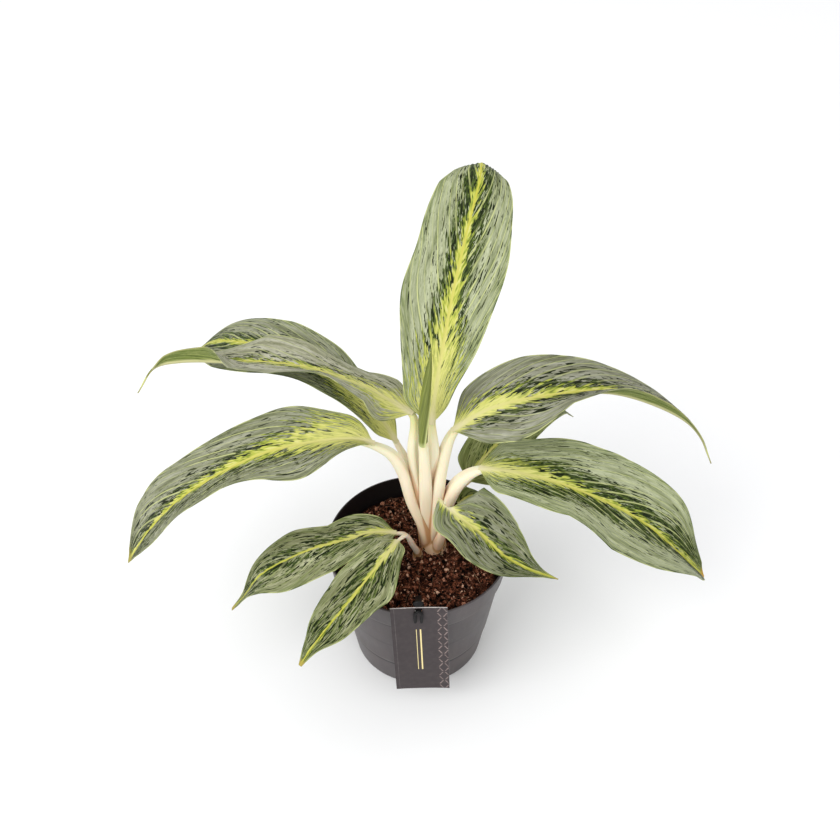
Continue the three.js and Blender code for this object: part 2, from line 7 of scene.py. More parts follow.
# %% Load the frame
import math
import random
from functools import partial

import bpy
import numpy as np
from mathutils import Euler, Matrix, Vector, noise


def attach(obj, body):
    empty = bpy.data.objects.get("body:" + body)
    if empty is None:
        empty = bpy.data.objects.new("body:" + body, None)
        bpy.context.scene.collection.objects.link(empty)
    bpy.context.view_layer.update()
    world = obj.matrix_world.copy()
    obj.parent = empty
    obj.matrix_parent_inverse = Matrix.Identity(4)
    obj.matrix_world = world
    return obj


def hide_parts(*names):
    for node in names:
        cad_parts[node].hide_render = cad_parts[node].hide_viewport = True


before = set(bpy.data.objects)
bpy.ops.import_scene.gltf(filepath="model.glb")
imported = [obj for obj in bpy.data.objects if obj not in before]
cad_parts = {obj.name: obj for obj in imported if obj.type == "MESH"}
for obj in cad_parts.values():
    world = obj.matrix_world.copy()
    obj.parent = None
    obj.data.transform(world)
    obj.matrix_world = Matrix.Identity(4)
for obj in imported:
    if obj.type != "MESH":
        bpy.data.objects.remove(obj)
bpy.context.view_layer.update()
MM = 0.001  # a millimetre in metres, the scene's unit
print("nodes in the frame:", len(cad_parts))

# %% [markdown]
# ## Small helpers
# Colours are easiest to read as hex values, as a picture editor shows them. Blender mixes light with
# linear values, so one function converts them. Another adds a shader node with its settings and links
# in one line, which keeps the materials short enough to read. A few words stand for the nodes that
# come back most: SPAN turns one range of numbers evenly into another, EASE does so with soft ends,
# and LAYER lays a second colour over a first one where a mask says so.


# %% Colours and shader nodes
PLUS, MINUS, TIMES, TIMES_PLUS = "Math ADD", "Math SUBTRACT", "Math MULTIPLY", "Math MULTIPLY_ADD"
DIVIDED, HIGHEST, ABOVE = "Math DIVIDE", "Math MAXIMUM", "Math GREATER_THAN"
EASE, SPAN = "MapRange SMOOTHSTEP", "MapRange LINEAR"
LAYER = "Mix RGBA"
CHOICES = {"Math": "operation", "VectorMath": "operation", "MapRange": "interpolation_type",
           "Mix": "data_type"}  # the setting that the second word of a kind stands for
OBJECT = 3  # the output of Texture Coordinate that gives the place on the object, in metres
PAIR, ALL = slice(2), slice(3)  # the first two or all three of a node's outputs


def linear(hex_colour):
    """An sRGB hex colour as linear red, green, blue and alpha."""
    parts = [int(hex_colour[i:i + 2], 16) / 255 for i in (1, 3, 5)]
    return [c / 12.92 if c <= 0.04045 else ((c + 0.055) / 1.055) ** 2.4 for c in parts] + [1.0]


def add(tree, kind, inputs=(), out=0, stops=None, **settings):
    """Adds a shader node, sets it, fills or links its inputs, and gives back one of its outputs.

    A kind such as "Math ADD" names a node and its choice. Inputs are listed in the order in which
    the node shows its sockets, or they are named. A colour is written as hex. Stops are the places
    and colours of a colour ramp.
    """
    kind, _, choice = kind.partition(" ")
    made = tree.nodes.new("ShaderNode" + kind)
    if choice:
        settings[CHOICES[kind]] = choice
    for name, value in settings.items():
        setattr(made, name, value)
    if isinstance(inputs, dict):
        filled = [(made.inputs[name], value) for name, value in inputs.items()]
    else:
        filled = zip([socket for socket in made.inputs if socket.enabled], inputs)
    for socket, value in filled:
        if isinstance(value, bpy.types.NodeSocket):
            tree.links.new(value, socket)
        else:
            socket.default_value = linear(value) if isinstance(value, str) else value
    if stops:
        ramp = made.color_ramp.elements
        for stop, (at, colour) in ((ramp[0], stops[0]), (ramp[1], stops[-1])):
            stop.position, stop.color = at, linear(colour)
        for at, colour in stops[1:-1]:
            ramp.new(at).color = linear(colour)
    shown = [socket for socket in made.outputs if socket.enabled]
    return shown[out] if shown else made


def new_material(title):
    """An empty material, and the function above made ready for its tree."""
    material = bpy.data.materials.new(title)
    material.use_nodes = True
    material.node_tree.nodes.clear()
    return material, partial(add, material.node_tree)


# %% Meshes
def deselect():
    """Leaves edit mode and selects nothing, so that the next operator acts on its own piece only."""
    if bpy.context.object and bpy.context.object.mode != "OBJECT":
        bpy.ops.object.mode_set(mode="OBJECT")
    bpy.ops.object.select_all(action="DESELECT")


def pick_only(piece):
    """Selects one piece and makes it the active one."""
    deselect()
    piece.select_set(True)
    bpy.context.view_layer.objects.active = piece


def keep_as(piece, name, *materials):
    """Names a piece and gives it its materials."""
    piece.name = name
    piece.data.name = name
    piece.data.materials.clear()
    for material in materials:
        piece.data.materials.append(material)
    return piece


def stands_for(piece, slot, *nodes):
    """The piece rides on the one body and hides the solids it stands for. Its slot is not used."""
    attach(piece, "root")
    for node in nodes:
        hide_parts(node)
    print(piece.name, len(piece.data.polygons), "faces")


def points_of(piece):
    """The vertices of a piece as an array."""
    places = np.empty(len(piece.data.vertices) * 3)
    piece.data.vertices.foreach_get("co", places)
    return places.reshape(-1, 3)


def move_points(piece, places):
    """Puts the vertices of a piece at the places in an array, which are in mm."""
    piece.data.vertices.foreach_set("co", np.ascontiguousarray(places * MM).ravel())
    piece.data.update()


def flat_grid(columns, rows):
    """A new grid, and where its vertices are, from -1 to 1 both ways."""
    deselect()
    bpy.ops.mesh.primitive_grid_add(x_subdivisions=columns, y_subdivisions=rows, size=2)
    return bpy.context.object, points_of(bpy.context.object)


def corners_of(mesh):
    """The number of the vertex at each face corner."""
    corners = np.empty(len(mesh.loops), int)
    mesh.loops.foreach_get("vertex_index", corners)
    return corners


def set_uv(mesh, name, *values):
    """A UV map from two lists, each with a number for every face corner."""
    layer = mesh.uv_layers.get(name) or mesh.uv_layers.new(name=name)
    layer.data.foreach_set("uv", np.stack(values, -1).ravel())


def edit_all(piece):
    """Opens edit mode with the whole piece selected."""
    pick_only(piece)
    bpy.ops.object.mode_set(mode="EDIT")
    bpy.ops.mesh.select_all(action="SELECT")


def edit_faces(piece, rule):
    """Opens edit mode with only those faces selected that fit a rule."""
    edit_all(piece)
    bpy.ops.mesh.select_mode(type="FACE")
    bpy.ops.mesh.select_all(action="DESELECT")
    bpy.ops.object.mode_set(mode="OBJECT")
    for face in piece.data.polygons:
        face.select = rule(face)
    bpy.ops.object.mode_set(mode="EDIT")


def end_edit():
    """Back to object mode, so that the next edit selects by vertices again."""
    bpy.ops.mesh.select_mode(type="VERT")
    bpy.ops.object.mode_set(mode="OBJECT")


def apply_modifier(piece, kind, **settings):
    """Adds a modifier, sets it and applies it."""
    pick_only(piece)
    modifier = piece.modifiers.new(kind.title(), kind)
    for name, value in settings.items():
        setattr(modifier, name, value)
    bpy.ops.object.modifier_apply(modifier=modifier.name)


def shade_smooth(piece, degrees=None):
    """Smooth shading, all over or only where faces meet at less than an angle."""
    pick_only(piece)
    if degrees is None:
        bpy.ops.object.shade_smooth()
    else:
        bpy.ops.object.shade_smooth_by_angle(angle=math.radians(degrees))


def joined(pieces):
    """Joins several pieces into the first one."""
    pick_only(pieces[0])
    for piece in pieces[1:]:
        piece.select_set(True)
    bpy.ops.object.join()
    return pieces[0]


# %% [markdown]
# ## Camera, floor and light
# The plant was photographed from above the front, at about 42 degrees, on a white sweep. The camera
# stands there. The light is a bright even sky, a large soft lamp from the left, which gives the weak
# shadow on the right, and a faint one from the right, which lightens that shadow.

# %% Camera
CAMERA_PLACE = (1, -459, 625)  # mm
CAMERA_TILT = 42.5  # degrees below level
CAMERA_LENS = 45.5  # mm
SENSOR_WIDTH = 36  # mm

camera = bpy.data.objects.new("camera", bpy.data.cameras.new("camera"))
camera.data.sensor_width = SENSOR_WIDTH
camera.data.lens = CAMERA_LENS
camera.data.clip_start = 0.01
camera.location = Vector(CAMERA_PLACE) * MM
camera.rotation_euler = (math.radians(90 - CAMERA_TILT), 0, 0)
bpy.context.scene.collection.objects.link(camera)
bpy.context.scene.camera = camera
print("camera at", [round(v, 3) for v in camera.location])

# %% Floor and light
PLANT_MIDDLE = (0, 0, 120)  # mm, what the lamps look at

bpy.context.scene.view_settings.view_transform = "Standard"

# matt white paint gives a bright, even ground with soft shadows and no mirror image
deselect()
bpy.ops.mesh.primitive_circle_add(vertices=96, radius=6, fill_type="NGON", location=(0, 0, -0.2 * MM))
floor_paint, node = new_material("matt_white_paint")
grain = node("TexNoise", {"Vector": node("TexCoord", out=OBJECT), "Scale": 9.0})
shade = node(LAYER, [grain, "#ededee", "#efefef"])
node("OutputMaterial", [node("BsdfPrincipled", {
    "Base Color": shade, "Roughness": 0.8, "Specular IOR Level": 0.2})])
floor = keep_as(bpy.context.object, "floor", floor_paint)

sky = bpy.data.worlds.new("even_sky")
sky.use_nodes = True
background = sky.node_tree.nodes["Background"]
background.inputs["Color"].default_value = (0.985, 0.99, 1.0, 1.0)
background.inputs["Strength"].default_value = 0.96
bpy.context.scene.world = sky


def soft_lamp(name, place, size, power):
    """A square area lamp at a place in mm, turned to the middle of the plant. Its size is in mm too."""
    lamp = bpy.data.objects.new(name, bpy.data.lights.new(name, "AREA"))
    lamp.data.size = size * MM
    lamp.data.energy = power
    lamp.location = Vector(place) * MM
    way = Vector(PLANT_MIDDLE) * MM - lamp.location
    lamp.rotation_euler = way.to_track_quat("-Z", "Y").to_euler()
    bpy.context.scene.collection.objects.link(lamp)


soft_lamp("key_lamp", (-2000, -1700, 2300), 2400, 72)
soft_lamp("fill_lamp", (1400, -1800, 1800), 2200, 12)

# %% [markdown]
# ## The shape of a leaf blade
# A blade is a thin sheet on either side of a midrib. Its form is easy to describe with a few numbers:
# the path of the rib, the width of each half, how far each half is lifted beside the rib, and small
# waves along the edge. The solids of the frame follow the same numbers, so the finer blade made here
# lies exactly where its solid lies.
# A grid is added for each blade and its vertices are laid on that surface by a formula. By hand one
# would pull the same grid into shape with proportional editing, but never twice alike.

# %% The leaves, in millimetres and degrees
# rib: the points of its path, from foot to tip. face: the way the upper side looks, at even steps.
# left and right: the widths of that half, how steeply it rises beside the rib, and how far it turns
# on from there to the edge. waves: their height, their number and where they start, in turns.
# lobe: how far a rounded lobe reaches back past the foot.
LEAVES = {
    "tall_leaf": {
        "rib": [(8, 9, 192), (10, 15, 212), (16, 34, 243), (21, 50, 264), (30, 78, 291), (36, 96, 307),
                (38, 113, 309), (40, 145, 287)],
        "face": [(0, -1, 0.3), (0, -1, 0.5), (0, -1, 0.6), (0, -0.8, 0.8), (0, 0, 1)],
        "left": ([16, 20, 26, 30, 27, 26, 22, 10, 1], [5, 5, 0, -10, -25], [0, 0, -20]),
        "right": ([6, 12, 21, 26, 28, 25, 20, 12, 1], [30, 20, 10, -15, -25], [0, 0, -20]),
        "waves": (0.8, 3, 0.2)},
    "left_back_leaf": {
        "rib": [(-13, 23, 164), (-28, 33, 183), (-64, 60, 195), (-97, 81, 194), (-138, 108, 178),
                (-154, 117, 163)],
        "face": [(0, -0.4, 1), (0, -0.2, 1), (0, 0, 1)],
        "left": ([6, 13, 14, 18, 26, 29, 28, 18, 1], [20, 20, 15, 0, 0], [0, 0]),
        "right": ([6, 10, 13, 21, 24, 27, 28, 21, 1], [0, 0], [0, 0]),
        "waves": (0.8, 3, 0.5)},
    "left_folded_leaf": {
        "rib": [(-3, 12, 199), (-35, 24, 211), (-72, 37, 215), (-117, 54, 205), (-152, 66, 195),
                (-173, 75, 182), (-189, 80, 156)],
        "face": [(0, -0.4, 1), (0, -0.2, 1), (0, 0, 1)],
        "left": ([12, 24, 24, 27, 25, 13, 8, 1, 0], [-15, 48, 55, 40, 39, 85, 90, 90, 70], [0, 0]),
        "right": ([12, 18, 20, 28, 27, 16, 7, 1, 0], [0, -30, -26, -8, -22, -10, 0], [0, 0]),
        "waves": (0.8, 3, 0.1)},
    "left_middle_leaf": {
        "rib": [(-26, 2, 184), (-42, -1, 190), (-89, -10, 188), (-139, -18, 161), (-164, -23, 136),
                (-183, -26, 107)],
        "face": [(0, -0.3, 1), (0, -0.2, 1), (-0.5, -0.2, 1)],
        "left": ([6, 15, 27, 20, 15, 16, 18, 11, 1], [40, 18, 9, 20, 20, 12, 15], [0, 0]),
        "right": ([10, 17, 25, 25, 24, 27, 29, 24, 1], [40, 15, 9, 5, 0, 0, 15], [0, 0]),
        "waves": (0.8, 3, 0.7)},
    "low_left_back_leaf": {
        "rib": [(-14, -4, 110), (-31, -7, 113), (-46, -10, 110), (-65, -13, 106), (-84, -17, 99),
                (-102, -20, 87), (-115, -23, 68), (-124, -24, 56)],
        "face": [(0, -0.2, 1), (0, -0.2, 1), (-0.5, 0, 1)],
        "left": ([11, 15, 17, 19, 20, 20, 13, 4, 1], [10, 25, -15, -12, 0, 10, 20], [0, 0]),
        "right": ([6, 12, 16, 17, 20, 18, 12, 4, 1], [10, 25, -15, -12, 0, 10, 20], [0, 0]),
        "waves": (0.6, 2, 0.3)},
    "low_left_front_leaf": {
        "rib": [(-13, -19, 120), (-17, -28, 122), (-38, -58, 116), (-62, -91, 108), (-69, -100, 102)],
        "face": [(0, -0.2, 1), (-0.3, -0.2, 1), (-0.5, -0.5, 1)],
        "left": ([7, 10, 16, 20, 17, 15, 12, 5, 1], [0, 5, -9, -12, -9, -10, 0], [0, 0]),
        "right": ([16, 13, 16, 21, 21, 18, 14, 7, 1], [0, 5, -9, -12, -9, -10, 0], [0, 0]),
        "waves": (0.6, 2, 0.1)},
    "right_upper_leaf": {
        "rib": [(20, 10, 187), (45, 14, 202), (88, 22, 206), (120, 29, 201), (165, 37, 174),
                (182, 39, 155), (194, 40, 129)],
        "face": [(0, -0.4, 1), (0, -0.3, 1), (0.2, 0, 1)],
        "left": ([10, 20, 26, 25, 21, 19, 16, 6, -1], [15, 22, 12, -8, -13, -22, -20], [0, 0]),
        "right": ([14, 22, 26, 21, 14, 8, 5, 2, -1], [-15, -12, 45, 68, 74, 66, 60], [0, 0]),
        "waves": (0.8, 3, 0.4)},
    "right_middle_leaf": {
        "rib": [(37, 3, 162), (60, -2, 163), (95, -9, 156), (137, -17, 136), (175, -23, 99),
                (184, -23, 88)],
        "face": [(0, -0.3, 1), (0, -0.2, 1), (0.5, -0.2, 1)],
        "left": ([22, 25, 29, 30, 33, 31, 26, 13, 1], [-15, 0, 20, 12, 21, 33, 36], [0, 0]),
        "right": ([13, 17, 22, 27, 36, 37, 33, 22, 1], [-15, 0, 20, 12, 21, 33, 36], [0, 0]),
        "waves": (0.8, 3, 0.8)},
    "right_low_leaf": {
        "rib": [(20, -10, 139), (25, -13, 135), (38, -17, 125), (51, -24, 114), (66, -31, 108),
                (87, -39, 106)],
        "face": [(0, -0.5, 1), (0, -0.4, 1), (0.5, -0.2, 1)],
        "left": ([24, 24, 24, 22, 20, 16, 9, 3, 0], [15, 25, 20, 20, 10], [0, 0]),
        "right": ([20, 17, 22, 21, 18, 15, 9, 3, 0], [10, 20, 20, 20, 10], [0, 0]),
        "waves": (0.6, 2, 0.6),
        "lobe": 10},
    "right_back_leaf": {
        "rib": [(33, 29, 123), (39, 34, 133), (50, 43, 142), (64, 55, 147), (82, 70, 146),
                (97, 83, 139), (108, 92, 124)],
        "face": [(0, -0.2, 1), (0, 0, 1), (0.2, 0.2, 1)],
        "left": ([12, 18, 21, 21, 17, 9, 1], [0, 0], [0, 0]),
        "right": ([16, 20, 18, 15, 11, 6, 1], [0, 0], [0, 0]),
        "waves": (0.6, 2, 0.9)},
    "small_back_leaf": {
        "rib": [(26, 16, 115), (31, 19, 118), (37, 22, 118), (43, 25, 114)],
        "face": [(0, -0.2, 1), (0, 0, 1)],
        "left": ([4, 6, 7, 7, 5, 3, 1], [15, 5, 0], [0, 0]),
        "right": ([4, 6, 7, 7, 5, 3, 1], [15, 5, 0], [0, 0]),
        "waves": (0.4, 2, 0.2)},
}
FOOT_ROUNDING = 0.09  # the share of the rib over which a blade's foot rounds out
LOBE_SHARE = 0.35  # the share over which a rounded lobe reaches back past the foot
NARROW_HALF = 6  # a half narrower than this lies flatter
WAVY_HALF = 10  # and one narrower than this has lower waves
WAVE_SHIFT = 0.3  # between the waves of the two edges
print("leaves to make:", len(LEAVES))

# %% [markdown]
# ### Curves through a few points
# The rib is a centripetal Catmull-Rom curve, which passes through its points without loops. It is
# walked at even steps of its length, so that a share of 0.5 is the middle of the leaf.


# %% Curve and list helpers
def curve_through(points, steps_between=40):
    """Places along a smooth curve through the points, with the length walked to each of them."""
    spots = [Vector(p) for p in points]
    spots = [2 * spots[0] - spots[1]] + spots + [2 * spots[-1] - spots[-2]]
    walked = []
    for p0, p1, p2, p3 in zip(spots, spots[1:], spots[2:], spots[3:]):
        d0, d1, d2 = [math.sqrt((b - a).length) for a, b in ((p0, p1), (p1, p2), (p2, p3))]
        leave = ((p1 - p0) / d0 - (p2 - p0) / (d0 + d1) + (p2 - p1) / d1) * d1
        arrive = ((p2 - p1) / d1 - (p3 - p1) / (d1 + d2) + (p3 - p2) / d2) * d1
        for step in range(steps_between):
            u = step / steps_between
            walked.append(p1 + leave * u + (3 * (p2 - p1) - 2 * leave - arrive) * u ** 2
                          + (2 * (p1 - p2) + leave + arrive) * u ** 3)
    walked.append(spots[-2])
    places = np.array([tuple(p) for p in walked])
    lengths = np.concatenate([[0], np.cumsum(np.linalg.norm(np.diff(places, axis=0), axis=1))])
    return places, lengths


def at_shares(places, lengths, shares):
    """Points and unit directions of a walked curve at shares of its length."""
    def point(share):
        return np.stack([np.interp(share * lengths[-1], lengths, places[:, k]) for k in range(3)], -1)
    ahead = point(np.clip(shares + 0.004, 0, 1)) - point(np.clip(shares - 0.004, 0, 1))
    return point(shares), ahead / np.linalg.norm(ahead, axis=-1, keepdims=True)


def evenly(values, shares):
    """A value that runs straight from one listed value to the next."""
    return np.interp(shares, np.linspace(0, 1, len(values)), values)


def smoothly(values, shares):
    """The same, as a smooth curve through the listed values."""
    scaled = np.clip(shares, 0, 1) * (len(values) - 1)
    step = np.minimum(scaled.astype(int), len(values) - 2)
    listed = np.array([2 * values[0] - values[1]] + list(values) + [2 * values[-1] - values[-2]], float)
    before, start, end, after = [listed[step + k] for k in range(4)]
    leave, arrive, u = (end - before) / 2, (after - start) / 2, scaled - step
    return (start + leave * u + (3 * (end - start) - 2 * leave - arrive) * u ** 2
            + (2 * (start - end) + leave + arrive) * u ** 3)


def unit(vectors):
    """Vectors of length one."""
    return vectors / np.linalg.norm(vectors, axis=-1, keepdims=True)


# %% [markdown]
# ### The surface of a blade
# `share` runs from 0 at the foot to 1 at the tip, and `across` from -1 at the left edge over 0 at the
# rib to 1 at the right edge. Real blades aren't smooth sheets. The side veins lie in shallow furrows,
# and the tissue between them bulges a little, so the surface gets low pleats along the veins.
# Side veins leave the rib about every 15 mm and then bend forward until they nearly follow the edge.
# The count of a side vein at a point, and how far along that vein the point lies, are worked out here,
# because the pattern of the leaf follows them too.

# %% Surface formulas
VEIN_SPACING = 15  # mm along the rib between side veins
VEIN_LEAN = 1.9  # how far forward a side vein goes for each millimetre outward, beside the rib
VEIN_BEND = 0.05  # and how much more with each millimetre
PLEAT_HEIGHT = 0.3  # mm
RIPPLE_HEIGHT = 0.5  # mm, of the low ripples that grow toward the edge
EVEN_HALF = 14  # mm, in a half narrower than this pleats and ripples are lower
TIP_HALF = 0.25  # mm, half the width at the very tip
FOOT_HALF = 1.6  # mm, the same at the foot
LEFT_COUNT = 50  # added to the veins of the left half, which gives it a pattern of its own


def half_width(widths, shares):
    """Half the width of a blade on one side, in millimetres."""
    rounding = np.sin(np.pi / 2 * np.minimum(1, shares / FOOT_ROUNDING))
    least = FOOT_HALF + (TIP_HALF - FOOT_HALF) * shares
    return np.maximum(smoothly(widths, shares) * rounding, least)


def vein_places(leaf, shares, across, wobble):
    """Which side vein a point is on, counted from the foot, and how far along that vein, in mm."""
    out = np.abs(across) * max(leaf["left"][0] + leaf["right"][0])
    along_rib = shares * leaf["length"] - (VEIN_LEAN * out + VEIN_BEND * out ** 2)
    # two slow waves keep the veins from being ruled too evenly
    count = along_rib / VEIN_SPACING + 0.22 * np.sin(along_rib / 23 + wobble) \
        + 0.06 * np.sin(out / 4 + along_rib / 9 + wobble)
    return count, 2.15 * out + 0.045 * out ** 2


def blade_surface(leaf, shares, across, wobble):
    """Points of the blade's upper side in millimetres, and the numbers that its pattern follows."""
    rib, forward = at_shares(*leaf["curve"], shares)
    up = np.stack([evenly([f[k] for f in leaf["face"]], shares) for k in range(3)], -1)
    up = unit(up - forward * np.sum(up * forward, -1, keepdims=True))
    on_left = across < 0
    outward = np.cross(forward, up) * np.where(on_left, -1, 1)[:, None]
    u = np.abs(across)

    def pick(part, rule):
        return np.where(on_left, rule(leaf["left"][part], shares), rule(leaf["right"][part], shares))

    # each half is an arc: it starts at an angle beside the rib and turns on toward the edge
    half = pick(0, half_width)
    flat = np.minimum(1, half / NARROW_HALF)
    start = np.radians(pick(1, evenly)) * flat
    turn = np.radians(pick(2, evenly)) * flat
    turn = np.where(np.abs(turn) < 0.001, 0.001, turn)
    angle = start + turn * u
    out = (np.sin(angle) - np.sin(start)) / turn * half
    rise = (np.cos(start) - np.cos(angle)) / turn * half
    normal = up * np.cos(angle)[:, None] - outward * np.sin(angle)[:, None]

    height, waves, phase = leaf["waves"]
    lower = u ** 2 * np.minimum(1, half / WAVY_HALF)
    wave = height * lower * np.sin(2 * np.pi * (waves * shares + phase + WAVE_SHIFT * on_left))
    vein, run = vein_places(leaf, shares, across, wobble + 3 * on_left)
    narrow = np.minimum(1, half / EVEN_HALF)
    beside = np.clip(u * half / 3, 0, 1) * np.clip((1 - u) * 4, 0, 1) * narrow
    pleat = -PLEAT_HEIGHT * np.cos(2 * np.pi * vein) * beside
    ripple = RIPPLE_HEIGHT * u * narrow * np.sin(shares * leaf["length"] / 9 + 5 * wobble + 2 * on_left)
    lobe = np.where(on_left, 0, leaf.get("lobe", 0)) * u ** 2 * np.maximum(0, 1 - shares / LOBE_SHARE) ** 2
    points = (rib + outward * out[:, None] + up * rise[:, None] - forward * lobe[:, None]
              + normal * (wave + pleat + ripple)[:, None])
    return points, vein + LEFT_COUNT * on_left, run, half


for leaf in LEAVES.values():
    leaf["curve"] = curve_through(leaf["rib"])
    leaf["length"] = leaf["curve"][1][-1]
print("rib lengths in mm:", {name: round(leaf["length"]) for name, leaf in LEAVES.items()})

# %% [markdown]
# ### From grid to blade
# A plain grid is laid on the surface. It is finer near the rib and at both ends, where the form
# changes fastest. Three UV maps carry the numbers that the pattern follows: the place on the blade,
# the side veins, and the distances from the rib and from the edge in millimetres.
# Solidify then gives the sheet its thickness. A vertex group makes it thin at the edge and thick under
# the rib, so the underside gets its keel, and the underside gets a material of its own.

# %% Blade maker
BLADE_COLUMNS = 44
BLADE_ROWS = 150
RIB_CROWDING = 1.35  # above 1, the columns stand closer together toward the rib
END_CROWDING = 0.6  # above 0, the rows stand closer together toward the foot and the tip
BLADE_THICKNESS = 0.5  # mm, between the rib and the edge
KEEL_THICKNESS = 2.4  # mm, under the rib at the foot
KEEL_HALF = 1.6  # mm, how far out the keel runs


def blade(name, top_skin, under_skin, wobble):
    """The finished blade of one leaf."""
    leaf = LEAVES[name]
    piece, flat = flat_grid(BLADE_COLUMNS, BLADE_ROWS)
    across = np.sign(flat[:, 0]) * np.abs(flat[:, 0]) ** RIB_CROWDING
    across[np.abs(flat[:, 0]) < 0.001] = 0
    even = (flat[:, 1] + 1) / 2
    shares = np.clip(even - END_CROWDING * np.sin(2 * np.pi * even) / (2 * np.pi), 0, 1)
    move_points(piece, blade_surface(leaf, shares, across, wobble)[0])

    # a face beside the rib lies left or right of it with all its corners
    corners = corners_of(piece.data)
    middle = across[corners].reshape(-1, 4).mean(1).repeat(4)
    corner_across = np.where(middle < 0, np.minimum(across[corners], -1e-6),
                             np.maximum(across[corners], 1e-6))
    _, vein, run, half = blade_surface(leaf, shares[corners], corner_across, wobble)
    from_rib = np.abs(corner_across) * half
    set_uv(piece.data, "UVMap", corner_across / 2 + 0.5, shares[corners])
    set_uv(piece.data, "veins", vein, run)
    set_uv(piece.data, "reach", from_rib, half - from_rib)

    whole = KEEL_THICKNESS + BLADE_THICKNESS
    at_rib = np.exp(-(np.abs(across) * half_width(leaf["right"][0], shares) / KEEL_HALF) ** 2)
    keel = KEEL_THICKNESS * (1 - 0.8 * shares) * at_rib
    thin = BLADE_THICKNESS * np.clip((1 - np.abs(across)) * 6, 0.5, 1) * np.clip((1 - shares) * 20, 0.4, 1)
    group = piece.vertex_groups.new(name="thickness")
    for index, weight in enumerate(np.clip((thin + keel) / whole, 0, 1)):
        group.add([index], weight, "REPLACE")
    keep_as(piece, "blade_of_" + name, top_skin, under_skin)
    apply_modifier(piece, "SOLIDIFY", thickness=whole * MM, offset=-1, vertex_group="thickness",
                   material_offset=1, material_offset_rim=0)
    piece.vertex_groups.clear()
    shade_smooth(piece, 60)
    return piece


# %% [markdown]
# ## The skin of the leaves
# A leaf's skin is a waxy film over green tissue. This plant's leaves are silver-green where air lies
# under the film. Dark green shows through in feathered patches beside the rib and in short dashes
# that follow the side veins. The rib is cream to yellow, and flames of yellow-green run from it into
# the side veins. All of that is drawn by stretching noise along the veins: the UV map counts veins
# in one direction and millimetres along the vein in the other.


# %% Upper skin
VEIN_GAP = 5  # mm, the usual gap between two side veins, measured square to them
VEIN_COLOUR = "#babf82"
FOOT_COLOUR = "#cfcc82"
FLAME_STOPS = [(0.2, "#222f0d"), (0.3, "#4f5f1c"), (0.5, "#8b963a"), (0.7, "#b3b650"), (1.0, "#c6c27a")]
RIB_STOPS = [(0.0, "#d3caa3"), (0.06, "#c9c488"), (0.3, "#bfba62"), (0.7, "#b6b144")]


